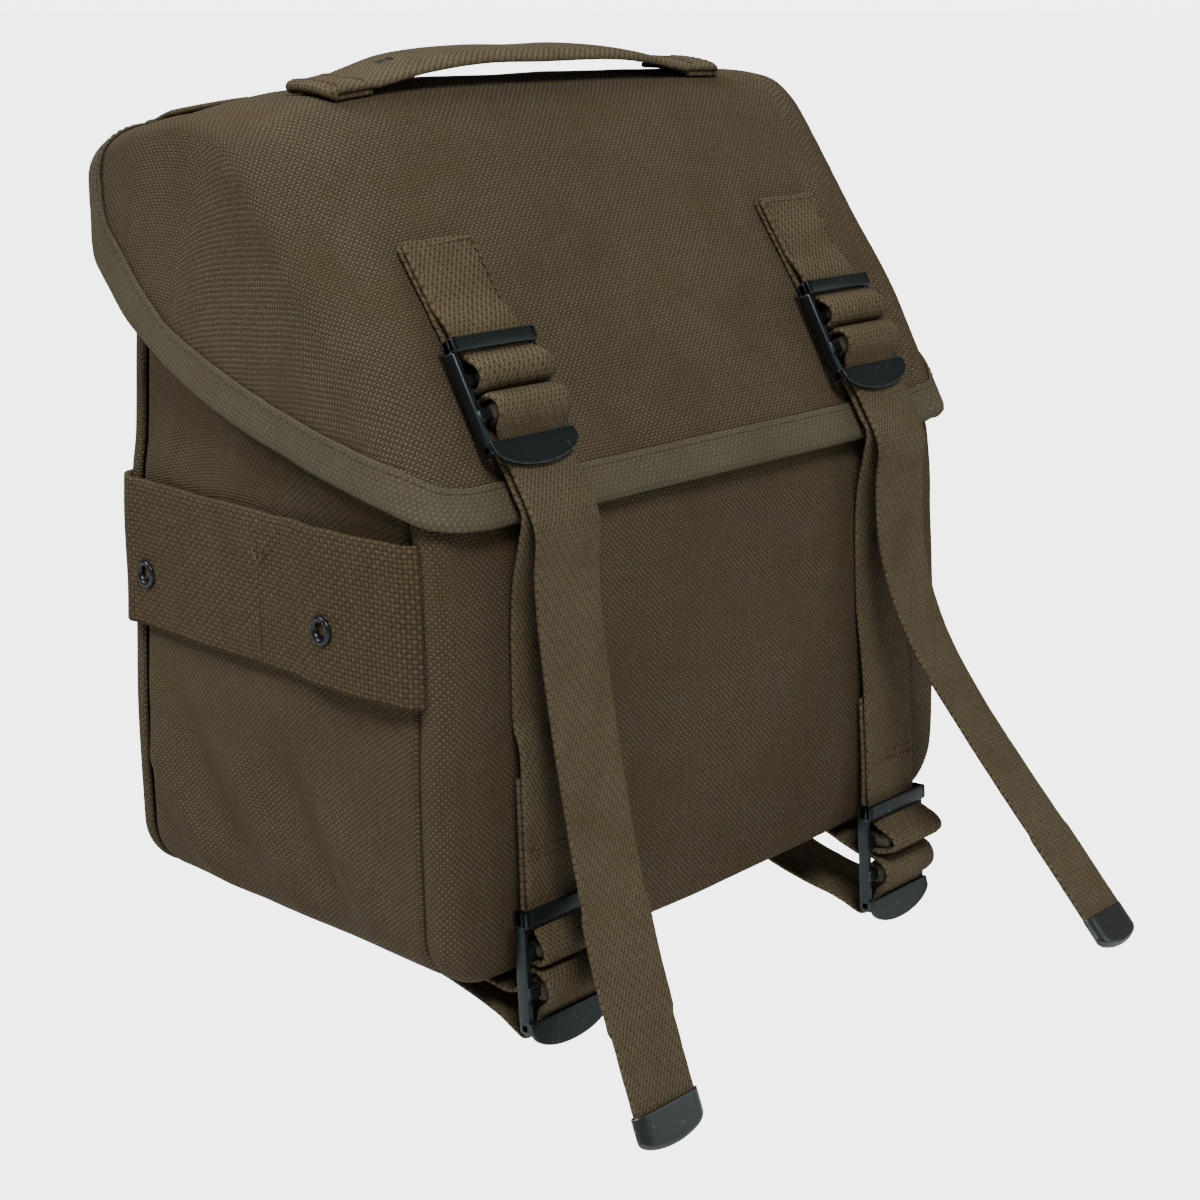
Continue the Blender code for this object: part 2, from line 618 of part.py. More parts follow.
def strap_tip(name, line, turn, material):
    """Crimped metal end."""
    end, before = line[-1], line[-2]
    down = (end - before).normalized()
    angle = math.radians(turn[-1])
    across = Vector((math.cos(angle), math.sin(angle), 0.0))
    across = (across - down * across.dot(down)).normalized()
    normal = across.cross(down).normalized()
    half = STRAP_WIDTH / 2 + 0.7 * MM
    outline = [(-half, -9.0 * MM), (-half, 3.0 * MM)]
    for k in range(1, 8):
        corner = math.pi * k / 8
        outline.append((-half * math.cos(corner), 3.0 * MM + 5.0 * MM * math.sin(corner)))
    outline += [(half, 3.0 * MM), (half, -9.0 * MM)]
    thick = WEB / 2 + GAP + 0.5 * MM
    count = len(outline)
    points = []
    for sign in (1.0, -1.0):
        points += [end + across * x + down * u + normal * sign * thick for x, u in outline]
    inner = [(-STRAP_WIDTH / 2 - 0.3 * MM, -9.0 * MM), (-STRAP_WIDTH / 2 - 0.3 * MM, 0.6 * MM),
             (STRAP_WIDTH / 2 + 0.3 * MM, 0.6 * MM), (STRAP_WIDTH / 2 + 0.3 * MM, -9.0 * MM)]
    pocket = WEB / 2 + GAP
    for sign in (1.0, -1.0):
        points += [end + across * x + down * u + normal * sign * pocket for x, u in inner]
    faces = [tuple(range(count)), tuple(reversed(range(count, 2 * count)))]
    for i in range(count - 1):
        faces.append((i, count + i, count + i + 1, i + 1))
    base = 2 * count
    faces += [(base, base + 3, base + 2, base + 1), (base + 4, base + 5, base + 6, base + 7)]
    for i in range(3):
        faces.append((base + i, base + i + 1, base + 5 + i, base + 4 + i))
    faces += [(0, count - 1, base + 3, base), (count, base + 4, base + 7, 2 * count - 1)]
    faces += [(0, base, base + 4, count), (count - 1, 2 * count - 1, base + 7, base + 3)]
    return mesh_object(name, points, faces, material)


def roll_strap(name, side, material):
    """Strap from under the bag, folded over the second cross bar of the lower buckle, its tail turned back."""
    frame = frame_at_front(side)
    x = side * LOWER_STRAP_X
    under = -sag(abs(x) - STRAP_WIDTH / 2, 0.0) - 2 * GAP - WEB / 2
    flat = under / MM

    def at(y, z):
        return Vector((x, y * MM, z * MM))

    path = [at(y, flat) for y in (-30.0, -60.0, -90.0, -116.0)]
    if side < 0:
        path += [at(-132.0, flat - 0.3), at(-141.0, flat - 0.6), place(frame, 21.6, -2.0), place(frame, 18.0, -0.5)]
        tail = [(-146.0, -18.0), (-136.0, -13.8), (-122.0, -10.5), (-106.0, flat - 3.6), (-85.0, flat - 3.0),
                (-60.0, flat - 2.8)]
    else:
        path += [at(-129.0, flat - 1.0), at(-139.0, -8.6), place(frame, 16.8, -2.8), place(frame, 16.6, 0.4)]
        tail = [(-147.0, -33.0), (-136.0, -30.5), (-122.0, -28.0), (-106.0, -25.0), (-88.0, -18.5),
                (-70.0, -11.4), (-50.0, flat - 2.9)]
    path += [place(frame, u, n) for u, n in TURN_BACK]
    path += [at(y, z) for y, z in tail]
    return ribbon(name, thin_line(smooth_line(path, 1.6 * MM)), material)


def handle(material):
    """Carrying strap with its folded ends sewn to the top of the flap."""
    at_t = 0.0
    while flap_profile(at_t)[0].y > -55.0 * MM:
        at_t += 1.0 * MM
    ends = [84.0, 81.5, 75.0, 68.0, 65.0, 59.0, 50.0, 39.0, 27.0, 14.0, 0.0]
    xs = [-x * MM for x in ends] + [x * MM for x in reversed(ends[:-1])]
    outer, inner = [], []
    for x in xs:
        reach = abs(x) / MM
        rise = HANDLE_RISE * (1.0 - min(reach / 66.0, 1.0) ** 2.5)
        thick = 4.4 * MM if reach >= 68.0 else 2.4 * MM
        low, high = [], []
        for across in (-0.5, -0.17, 0.17, 0.5):
            t = at_t + across * HANDLE_WIDTH
            low.append(flap_point(x, t, 2 * GAP + rise))
            high.append(flap_point(x, t, 2 * GAP + rise + thick))
        outer.append(high)
        inner.append(low)
    return slab("handle", outer, inner, material)


def shoulder_tab(name, side, material):
    """Short webbing tab over the seam between the flap and the back."""
    air = GAP + 0.3 * MM
    outer, inner = [], []
    for t in (15.0, 9.0, 3.5):
        outer.append([flap_point(side * (TAB_X + s * TAB_WIDTH), t * MM, air + WEB) for s in TAB_SHARES])
        inner.append([flap_point(side * (TAB_X + s * TAB_WIDTH), t * MM, air) for s in TAB_SHARES])
    for z, near, far, low in ((229.6, 0.75, 1.9, -1.3), (227.5, 0.75, 2.75, 0.0), (220.0, 0.6, 2.6, 0.0),
                              (208.0, 0.5, 2.5, 0.0), (192.0, 0.5, 2.5, 0.0)):
        outer.append([])
        inner.append([])
        for s in TAB_SHARES:
            x = side * (TAB_X + s * TAB_WIDTH)
            level = z * MM - crown(x, 0.0) * max(0.0, z - 205.0) / 24.0
            outer[-1].append(Vector((x, far * MM, level - low * MM)))
            inner[-1].append(Vector((x, near * MM, level)))
    return slab(name, outer, inner, material)


def belt_loop(name, side, material):
    path = []
    for z, y in ((201.0, 1.6), (194.0, 1.6), (190.0, 3.0), (184.5, 6.6), (176.0, 8.6), (165.0, 9.2), (154.0, 8.6),
                 (145.5, 6.6), (140.0, 3.0), (136.0, 1.6), (129.5, 1.6)):
        path.append(Vector((side * LOOP_X, y * MM, z * MM)))
    return ribbon(name, thin_line(smooth_line(path, 2.0 * MM)), material, width=LOOP_WIDTH, thick=2.4 * MM)


# Side band and eyelets

def band_line(z, off):
    """Outer line of the body at one height, from the left front seam round the back to the right."""
    half = half_width(z)
    front = table(FRONT_FACE, z / MM) * MM + PILLOW_FRONT + CANVAS + 1.0 * MM
    share_z = (z - CORNER_RADIUS) / (220.0 * MM - CORNER_RADIUS)
    line = []
    for k in (0.0, 0.08, 0.17, 0.25, 0.33, 0.42, 0.55, 0.7, 0.86, 0.975):
        y = front + k * (-6.0 * MM - front)
        bulge = SIDE_BULGE * math.sin(math.pi * k) * math.sin(math.pi * share_z)
        bow = 2.2 * MM * max(0.0, math.sin(math.pi * min(k / 0.42, 1.0)))
        line.append(Vector((-(half + bulge + off + bow), y, z)))
    corner = 9.0 * MM
    centre = Vector((-(half - corner + 1.0 * MM), -corner + 1.0 * MM, z))
    for angle in (15.0, 45.0, 75.0):
        a = math.radians(angle)
        line.append(centre + Vector((-math.cos(a), math.sin(a), 0.0)) * (corner + off))
    for x in (-0.82, -0.5, -0.2):
        line.append(Vector((x * half, off, z)))
    return line + [Vector((-p.x, p.y, p.z)) for p in reversed(line)]


def web_band(material):
    outer, inner = [], []
    for share in (-0.5, 0.0, 0.5):
        z = BAND_CENTRE + share * BAND_HEIGHT
        outer.append(band_line(z, BAND_AIR + BAND_THICK))
        inner.append(band_line(z, BAND_AIR))
    band = slab("web_band", outer, inner, material)
    cutters = []
    for side in (-1, 1):
        for y in (EYELET_FRONT_Y, EYELET_REAR_Y):
            centre, normal = band_seat(side, y)
            cutters.append(barrel_cutter(centre, normal))
    for cutter in cutters:
        modifier = band.modifiers.new("hole", "BOOLEAN")
        modifier.operation = "DIFFERENCE"
        modifier.solver = "EXACT"
        modifier.object = cutter
    graph = bpy.context.evaluated_depsgraph_get()
    mesh = bpy.data.meshes.new_from_object(band.evaluated_get(graph))
    band.modifiers.clear()
    band.data = mesh
    for cutter in cutters:
        bpy.data.objects.remove(cutter)
    return band


def band_seat(side, y):
    """Point on the outer face of the band and the direction away from it."""
    line = band_line(EYELET_HEIGHT, BAND_AIR + BAND_THICK)
    for a, b in zip(line, line[1:]):
        if a.y <= y <= b.y:
            point = a.lerp(b, (y - a.y) / (b.y - a.y))
            step = (b - a).normalized()
            normal = Vector((-step.y, step.x, 0.0))
            if normal.x > 0:
                normal = -normal
            break
    if side > 0:
        point, normal = Vector((-point.x, point.y, point.z)), Vector((-normal.x, normal.y, 0.0))
    return point, normal


def turned(name, centre, axis, rings, material, parts=12):
    """Closed ring body from (radius, height) points round an axis."""
    side = Vector((0.0, 0.0, 1.0))
    other = axis.cross(side).normalized()
    points = []
    for radius, height in rings:
        for k in range(parts):
            angle = 2 * math.pi * k / parts
            points.append(centre + axis * height + (side * math.cos(angle) + other * math.sin(angle)) * radius)
    faces = []
    for r in range(len(rings)):
        s = (r + 1) % len(rings)
        for k in range(parts):
            m = (k + 1) % parts
            faces.append((r * parts + k, r * parts + m, s * parts + m, s * parts + k))
    return mesh_object(name, points, faces, material)


def barrel_cutter(centre, normal):
    side = Vector((0.0, 0.0, 1.0))
    other = normal.cross(side).normalized()
    points = []
    for height in (-BAND_THICK * 1.3, 2.0 * MM):
        for k in range(16):
            angle = 2 * math.pi * k / 16
            radius = EYELET_BARREL + GAP
            points.append(centre + normal * height
                          + (side * math.cos(angle) + other * math.sin(angle)) * radius)
    faces = [tuple(range(16)), tuple(reversed(range(16, 32)))]
    faces += [(i, 16 + i, 16 + (i + 1) % 16, (i + 1) % 16) for i in range(16)]
    cutter = mesh_object("cutter", points, faces, bpy.data.materials["webbing"])
    return cutter


def eyelet(name, side, y, material):
    centre, normal = band_seat(side, y)
    low = GAP + 0.15 * MM
    top = low + 0.9 * MM
    rings = [(EYELET_HOLE, -BAND_THICK), (EYELET_HOLE, top - 0.2 * MM), (EYELET_HOLE + 0.4 * MM, top),
             (EYELET_FLANGE - 0.6 * MM, top), (EYELET_FLANGE, top - 0.4 * MM), (EYELET_FLANGE, low),
             (EYELET_BARREL, low), (EYELET_BARREL, -BAND_THICK)]
    return turned(name, centre, normal, rings, material)


def build():
    for obj in list(bpy.data.objects):
        bpy.data.objects.remove(obj)
    canvas = plain_material("canvas", (0.105, 0.086, 0.050), 0.92)
    flap_cloth = plain_material("flap_canvas", (0.112, 0.094, 0.056), 0.92)
    webbing = plain_material("webbing", (0.100, 0.084, 0.050), 0.90)
    tape = plain_material("binding_tape", (0.118, 0.108, 0.070), 0.88)
    steel = plain_material("black_steel", (0.022, 0.026, 0.028), 0.38, 0.6)

    panel("front_panel", front_y, FRONT_TOP, -1, canvas)
    panel("back_panel", back_y, BACK_TOP, 1, canvas)
    gusset(canvas)
    flap(flap_cloth)
    flap_binding(tape)
    web_band(webbing)
    handle(webbing)
    for side, word in ((-1, "left"), (1, "right")):
        eyelet("eyelet_front_" + word, side, EYELET_FRONT_Y, steel)
        eyelet("eyelet_rear_" + word, side, EYELET_REAR_Y, steel)
        upper_tab("flap_tab_" + word, side, webbing)
        line, turn = closure_strap("closure_strap_" + word, side, webbing)
        strap_tip("strap_tip_" + word, line, turn, steel)
        roll_strap("roll_strap_" + word, side, webbing)
        buckle("upper_buckle_" + word, frame_at_flap(UPPER_T, side * UPPER_STRAP_X), steel)
        buckle("lower_buckle_" + word, frame_at_front(side), steel)
        shoulder_tab("shoulder_tab_" + word, side, webbing)
        belt_loop("belt_loop_" + word, side, webbing)


build()
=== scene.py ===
import bisect
import math

import bmesh
import bpy
from mathutils import Matrix, Vector, noise


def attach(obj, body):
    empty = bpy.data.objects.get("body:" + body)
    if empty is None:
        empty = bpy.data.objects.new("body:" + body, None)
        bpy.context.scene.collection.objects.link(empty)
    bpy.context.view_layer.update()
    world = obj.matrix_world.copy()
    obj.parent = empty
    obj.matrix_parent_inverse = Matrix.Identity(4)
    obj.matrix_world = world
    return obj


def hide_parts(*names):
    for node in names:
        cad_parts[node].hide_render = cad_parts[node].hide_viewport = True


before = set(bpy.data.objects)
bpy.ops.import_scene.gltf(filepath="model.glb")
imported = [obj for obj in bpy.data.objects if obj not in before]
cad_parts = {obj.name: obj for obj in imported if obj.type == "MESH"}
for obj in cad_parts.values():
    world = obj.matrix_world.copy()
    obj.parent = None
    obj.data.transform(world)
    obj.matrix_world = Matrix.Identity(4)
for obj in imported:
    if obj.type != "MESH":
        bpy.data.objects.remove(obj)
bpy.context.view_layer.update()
print("frame loaded")

# Lengths in this script are millimetres: x to the right, y to the back, z up from the bottom of the bag

bag = {
    "originHeight": 165.0,     # of the frame's origin above the bottom
    "clothWall": 1.7,
    "cornerRadius": 17.0,
    "bottomSag": 4.0,
    "sideBulge": 2.2,
    "frontBulge": 1.6,
    "frontTop": 198.0,
    "backTop": 228.2,
    "frontRim": 6.0,
    "backRim": 5.0,
    "seamGroove": 1.9,         # open width of the seam between a panel and the gusset
    "halfWidth": [(0, 116.5), (20, 117), (55, 117), (83, 115.5), (127, 114), (140, 111.9), (168, 109.6),
                  (205, 106), (235, 104)],
    "frontFace": [(-5, -141), (20, -141.5), (60, -140.5), (95, -139), (127, -136.2), (140, -130.3),
                  (165, -114.7), (200, -91.2), (215, -84)],
    "mouthEdge": [(0, 196), (0.2, 211), (0.45, 227), (0.62, 229), (0.8, 223), (1, 212)],
}

flapShape = {
    "wall": 1.8,
    "foldRadius": 14.0,
    "foldStart": 105.0,
    "foldPower": {-1: 1.0, 1: 0.5},    # 1 a round fold, less a sharper one
    "crown": {-1: 6.5, 1: 1.2},
    "crownShare": [(0, 0.35), (0.12, 1.0), (0.5, 1.0), (0.75, 0.15), (1.0, 0.0)],
    "line": [(0, 229), (-12, 235.5), (-30, 240.8), (-45, 242.5), (-57, 242), (-66, 239.8), (-75, 232.6),
             (-84.5, 220.3), (-100.5, 197.5), (-117.5, 172.7), (-129.1, 152.7), (-141, 132.3)],
    "wingEdge": [(0, 1.5, 203), (0.06, 0.5, 194), (0.13, -4, 187), (0.23, -14, 176.5), (0.36, -30, 166),
                 (0.49, -47, 157.5), (0.6, -64, 151.5), (0.7, -80, 147), (0.8, -98, 142.5),
                 (0.9, -119, 138.3), (0.95, -129.2, 136.3), (1.0, -138.6, 131.6)],
    "frontCorner": [(0, 14.5), (0.8, 8), (2.4, 3.6), (5.4, 1), (10, 0)],
    "backCorner": [(0, 6), (5.2, 1.2), (12, 0)],
}


def toRow(p):
    return Vector((p[0], p[1], p[2] - bag["originHeight"])) * 0.001


def clamp01(value):
    return min(max(value, 0.0), 1.0)


def ease(value):
    value = clamp01(value)
    return value * value * (3.0 - 2.0 * value)


def readTable(rows, key, column=1):    # smooth reading between the rows
    if key <= rows[0][0]:
        return rows[0][column]
    if key >= rows[-1][0]:
        return rows[-1][column]
    i = bisect.bisect_right([row[0] for row in rows], key) - 1
    low, high = rows[i], rows[i + 1]
    before, after = rows[max(i - 1, 0)], rows[min(i + 2, len(rows) - 1)]
    span = high[0] - low[0]
    s = (key - low[0]) / span
    lowSlope = (high[column] - before[column]) / (high[0] - before[0]) * span
    highSlope = (after[column] - low[column]) / (after[0] - low[0]) * span
    return (low[column] * (1 - s) ** 2 * (1 + 2 * s) + high[column] * s * s * (3 - 2 * s)
            + lowSlope * s * (1 - s) ** 2 - highSlope * s * s * (1 - s))


def smoothLine(points, step):    # curve through the points, a point about every step
    points = [Vector(p) for p in points]
    ends = [points[0] * 2 - points[1]] + points + [points[-1] * 2 - points[-2]]
    line = []
    for i in range(1, len(ends) - 2):
        a, b, c, d = ends[i - 1:i + 3]
        parts = max(1, round((c - b).length / step))
        for k in range(parts):
            t = k / parts
            line.append(0.5 * (2 * b + (c - a) * t + (2 * a - 5 * b + 4 * c - d) * t * t
                               + (3 * b - a - 3 * c + d) * t ** 3))
    line.append(points[-1])
    return line


def wayAlong(line):    # distance from the start to each point
    way = [0.0]
    for a, b in zip(line, line[1:]):
        way.append(way[-1] + (b - a).length)
    return way


def splitLine(line, count):    # the same line in equal parts
    way = wayAlong(line)
    even = []
    for k in range(count + 1):
        d = way[-1] * k / count
        i = min(max(bisect.bisect_right(way, d) - 1, 0), len(line) - 2)
        share = (d - way[i]) / max(way[i + 1] - way[i], 1e-9)
        even.append(line[i].lerp(line[i + 1], share))
    return even


def evenLine(line, step):
    return splitLine(line, max(2, round(wayAlong(line)[-1] / step)))


def soften(line, rounds):    # rounds off the corners of a line, its ends kept
    for _ in range(rounds):
        line = [line[0]] + [(a + 2 * b + c) / 4 for a, b, c in zip(line, line[1:], line[2:])] + [line[-1]]
    return line


def wobble(x, y, z, size, seed):
    return noise.noise(Vector((x / size + seed, y / size - seed, z / size + 0.37 * seed)))


def foldHeight(folds, x, y):    # raised or sunk streaks: from, to, height, width
    total = 0.0
    for x0, y0, x1, y1, height, width in folds:
        dx, dy = x1 - x0, y1 - y0
        size = math.hypot(dx, dy)
        along = ((x - x0) * dx + (y - y0) * dy) / size
        aside = ((x - x0) * dy - (y - y0) * dx) / size
        fade = ease((along + 0.3 * size) / (0.5 * size)) * ease((1.3 * size - along) / (0.5 * size))
        total += height * fade * math.exp(-(aside / width) ** 2)
    return total


# Making and finishing pieces

def clothGrid(columns, rows, place, cloth):
    # place gives the point at two shares from 0 to 1, cloth the place on the flat cloth
    bm = bmesh.new()
    bmesh.ops.create_grid(bm, x_segments=columns, y_segments=rows, size=0.5)
    weave = bm.loops.layers.uv.new("weave")
    shares = {v: (v.co.x + 0.5, v.co.y + 0.5) for v in bm.verts}
    for face in bm.faces:
        for loop in face.loops:
            u, v = cloth(*shares[loop.vert])
            loop[weave].uv = (u * 0.001, v * 0.001)
    for vert, (a, b) in shares.items():
        vert.co = toRow(place(a, b))
    return bm


def finishPiece(bm, name, material, nodes=(), wall=0.0, offset=-1.0, levels=0, bevel=0.0):
    mesh = bpy.data.meshes.new(name)
    bm.to_mesh(mesh)
    bm.free()
    for polygon in mesh.polygons:
        polygon.use_smooth = True
    mesh.materials.append(material)
    piece = bpy.data.objects.new(name, mesh)
    bpy.context.scene.collection.objects.link(piece)
    if wall:
        solid = piece.modifiers.new("wall", "SOLIDIFY")
        solid.thickness = wall * 0.001
        solid.offset = offset
        solid.use_even_offset = False
    if bevel:
        rounding = piece.modifiers.new("rounding", "BEVEL")
        rounding.width = bevel * 0.001
        rounding.segments = 2
        rounding.limit_method = "ANGLE"
        rounding.angle_limit = math.radians(35)
    if levels:
        finer = piece.modifiers.new("finer", "SUBSURF")
        finer.levels = levels
        finer.render_levels = levels
    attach(piece, "root")
    if nodes:
        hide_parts(*nodes)
    return piece


def strapPiece(name, line, width, thickness, material, nodes=(), twist=None, columns=8,
               roughEdge=0.2, spread=None):
    # line in mm, at each point twist in degrees and spread in mm added to half the width
    way = wayAlong(line)
    rows = len(line) - 1
    acrosses = []
    for i in range(len(line)):
        tangent = (line[min(i + 1, rows)] - line[max(i - 1, 0)]).normalized()
        angle = math.radians(twist[i]) if twist else 0.0
        across = Vector((math.cos(angle), math.sin(angle), 0.0))
        acrosses.append((across - tangent * across.dot(tangent)).normalized())

    def place(a, b):
        i = round(b * rows)
        half = width / 2 + roughEdge * wobble(way[i], a * 40, 0, 2.6, 3.1) * abs(2 * a - 1) ** 6
        half += spread[i] if spread else 0.0
        return line[i] + acrosses[i] * (2 * a - 1) * half

    bm = clothGrid(columns, rows, place, lambda a, b: ((a - 0.5) * width, way[round(b * rows)]))
    return finishPiece(bm, name, material, nodes, wall=thickness, offset=0.0, levels=1)


def stitchRow(bm, points, normals, pitch, length, radius, sink=0.35):
    # short threads lying along the points
    way = wayAlong(points)
    count = int(way[-1] / pitch)
    for k in range(count):
        d = (k + 0.5) * way[-1] / count
        i = min(max(bisect.bisect_right(way, d) - 1, 0), len(points) - 2)
        share = (d - way[i]) / max(way[i + 1] - way[i], 1e-9)
        centre = points[i].lerp(points[i + 1], share)
        normal = normals[i].lerp(normals[i + 1], share).normalized()
        along = (points[i + 1] - points[i]).normalized()
        side = normal.cross(along).normalized()
        centre = centre + normal * radius * (1.0 - 2.0 * sink)
        turn = Matrix((along, side, normal)).transposed().to_4x4()
        size = Matrix.Diagonal((length / 2, radius, radius * 0.8, 1.0))
        lean = Matrix.Rotation(0.12, 4, "Z")
        spot = Matrix.Translation(toRow(centre)) @ Matrix.Scale(0.001, 4) @ turn @ lean @ size
        bmesh.ops.create_uvsphere(bm, u_segments=6, v_segments=4, radius=1.0,
                                  matrix=spot @ Matrix.Rotation(math.pi / 2, 4, "Y"))


# Materials

def addNode(tree, kind, inputs=None, **settings):
    node = tree.nodes.new(kind)
    for key, value in settings.items():
        setattr(node, key, value)
    for key, value in (inputs or {}).items():
        if isinstance(value, bpy.types.NodeSocket):
            tree.links.new(value, node.inputs[key])
        else:
            node.inputs[key].default_value = value
    return node


def calc(tree, operation, *values):
    return addNode(tree, "ShaderNodeMath", dict(enumerate(values)), operation=operation).outputs[0]


def joinValues(tree, *values):
    return addNode(tree, "ShaderNodeCombineXYZ", dict(enumerate(values))).outputs[0]


def mixColour(tree, share, low, high, kind="MIX"):
    node = addNode(tree, "ShaderNodeMix", data_type="RGBA", blend_type=kind)
    for key, value in ((0, share), (6, low), (7, high)):
        if isinstance(value, bpy.types.NodeSocket):
            tree.links.new(value, node.inputs[key])
        elif key == 0:
            node.inputs[0].default_value = value
        else:
            node.inputs[key].default_value = (*value, 1.0)
    return node.outputs[2]


def noiseField(tree, vector, scale, detail=2.0, rough=0.5):
    return addNode(tree, "ShaderNodeTexNoise", {"Vector": vector, "Scale": scale, "Detail": detail,
                                                "Roughness": rough}).outputs["Fac"]


def window(tree, value, low, high):    # 0 below low, 1 above high
    return addNode(tree, "ShaderNodeMapRange", {0: value, 1: low, 2: high, 3: 0.0, 4: 1.0},
                   interpolation_type="SMOOTHSTEP").outputs[0]


def wovenMaterial(name, style):
    material = bpy.data.materials.new(name)
    material.use_nodes = True
    tree = material.node_tree
    shader = tree.nodes["Principled BSDF"]
    flat = addNode(tree, "ShaderNodeUVMap", uv_map="weave").outputs[0]
    parts = addNode(tree, "ShaderNodeSeparateXYZ", {0: flat})
    spot = addNode(tree, "ShaderNodeTexCoord").outputs["Object"]
    u = calc(tree, "DIVIDE", parts.outputs[0], style["across"] * 0.001)
    v = calc(tree, "DIVIDE", parts.outputs[1], style["along"] * 0.001)
    drift = noiseField(tree, flat, style["driftScale"], 1.0)
    u = calc(tree, "MULTIPLY_ADD", drift, style["drift"], u)
    v = calc(tree, "MULTIPLY_ADD", drift, -style["drift"], v)
    if style.get("brick"):
        u = calc(tree, "MULTIPLY_ADD", calc(tree, "FLOOR", v), 0.5, u)
        u = calc(tree, "MULTIPLY_ADD", v, style["slant"], u)
    signed = calc(tree, "MULTIPLY", calc(tree, "SINE", calc(tree, "MULTIPLY", u, math.pi)),
                  calc(tree, "SINE", calc(tree, "MULTIPLY", v, math.pi)))
    pillow = calc(tree, "POWER", calc(tree, "ABSOLUTE", signed), style["power"])
    if style.get("pits"):    # small slanting pits in staggered rows, sunk in relief and darkened in colour as painted shade
        acrossCell = calc(tree, "SUBTRACT", calc(tree, "FRACT", u), 0.5)
        alongCell = calc(tree, "SUBTRACT", calc(tree, "FRACT", v), 0.5)
        lean = calc(tree, "MULTIPLY_ADD", acrossCell, 0.6, alongCell)
        reach = calc(tree, "ADD", calc(tree, "POWER", calc(tree, "DIVIDE", lean, 0.25), 2.0),
                     calc(tree, "POWER", calc(tree, "DIVIDE", acrossCell, 0.34), 2.0))
        groove = calc(tree, "MULTIPLY", window(tree, calc(tree, "ABSOLUTE", alongCell), 0.36, 0.5), 0.3)
        pillow = calc(tree, "MULTIPLY", window(tree, reach, 0.35, 1.25),
                      calc(tree, "SUBTRACT", 1.0, groove))
    side = window(tree, signed, -0.25, 0.25)
    yarnSpace = joinValues(tree, u, calc(tree, "MULTIPLY", v, 0.08), 0.0)
    pickSpace = joinValues(tree, calc(tree, "MULTIPLY", u, 0.08), v, 3.0)
    streak = calc(tree, "ADD", noiseField(tree, yarnSpace, 0.9, 1.0), noiseField(tree, pickSpace, 0.9, 1.0))
    colour = mixColour(tree, side, style["warp"], style["weft"])
    dots = window(tree, noiseField(tree, joinValues(tree, u, v, 0.0), 0.8, 0.0), 0.60, 0.72)
    dots = calc(tree, "MULTIPLY", dots, calc(tree, "MULTIPLY", pillow, style["dots"]))
    colour = mixColour(tree, dots, colour, style["dotColour"])
    patches = window(tree, noiseField(tree, spot, style["patchScale"], 4.0, 0.6), 0.42, 0.66)
    patches = calc(tree, "MULTIPLY", patches, style["patches"])
    colour = mixColour(tree, patches, colour, style["patchColour"])
    shade = calc(tree, "MULTIPLY_ADD", calc(tree, "SUBTRACT", streak, 1.0), style["streaks"], 1.0)
    cloudy = calc(tree, "SUBTRACT", noiseField(tree, spot, style["cloudScale"], 3.0), 0.5)
    shade = calc(tree, "MULTIPLY", shade, calc(tree, "MULTIPLY_ADD", cloudy, style["clouds"], 1.0))
    # painted shade: colour darkened on the edges of the crossings and in the hollows between them,
    # following the relief
    hollowShade = calc(tree, "MULTIPLY_ADD", pillow, 1.0 - style["hollowShade"], style["hollowShade"])
    shade = calc(tree, "MULTIPLY", shade, hollowShade)
    grey = addNode(tree, "ShaderNodeCombineColor", {0: shade, 1: shade, 2: shade}).outputs[0]
    colour = mixColour(tree, 1.0, colour, grey, "MULTIPLY")
    tree.links.new(colour, shader.inputs["Base Color"])
    shader.inputs["Roughness"].default_value = style.get("roughness", 0.9)
    shader.inputs["Sheen Weight"].default_value = style.get("sheen", 0.0)
    shader.inputs["Sheen Roughness"].default_value = 0.6
    shader.inputs["Specular IOR Level"].default_value = 0.12
    fuzz = noiseField(tree, spot, 900.0, 3.0, 0.7)
    rumple = noiseField(tree, spot, style["rumpleScale"], 3.0, 0.55)
    height = calc(tree, "MULTIPLY", pillow, style["relief"] * 0.001)
    height = calc(tree, "MULTIPLY_ADD", fuzz, style["fuzz"] * 0.001, height)
    height = calc(tree, "MULTIPLY_ADD", rumple, style["rumple"] * 0.001, height)
    bump = addNode(tree, "ShaderNodeBump", {"Height": height, "Distance": 1.0, "Strength": 1.0})
    tree.links.new(bump.outputs[0], shader.inputs["Normal"])
    return material


# across and along are the size of one crossing in mm, relief how deep its edges are; how dark its edges and
# the hollows between crossings get is painted shade, set by the brightness left in them
canvasStyle = {"across": 0.98, "along": 0.94, "power": 0.6, "hollowShade": 0.58, "relief": 0.30, "fuzz": 0.06,
               "drift": 0.6, "driftScale": 45.0, "streaks": 0.16,
               "warp": (0.076, 0.059, 0.034), "weft": (0.124, 0.100, 0.060),
               "dots": 0.2, "dotColour": (0.210, 0.170, 0.100),
               "patches": 0.45, "patchScale": 42.0, "patchColour": (0.104, 0.068, 0.031),
               "clouds": 0.34, "cloudScale": 16.0, "rumple": 0.7, "rumpleScale": 90.0}
flapStyle = dict(canvasStyle, warp=(0.080, 0.062, 0.036), weft=(0.141, 0.115, 0.071))
webStyle = {"across": 1.5, "along": 1.15, "brick": True, "slant": 0.0, "pits": True,
            "power": 0.36, "hollowShade": 0.56, "relief": 0.32, "fuzz": 0.07,
            "drift": 0.6, "driftScale": 90.0, "warp": (0.108, 0.087, 0.050), "weft": (0.126, 0.103, 0.061),
            "dots": 0.15, "dotColour": (0.20, 0.160, 0.090), "streaks": 0.2,
            "patches": 0.4, "patchScale": 60.0, "patchColour": (0.094, 0.068, 0.032),
            "clouds": 0.3, "cloudScale": 25.0, "rumple": 0.35, "rumpleScale": 160.0}
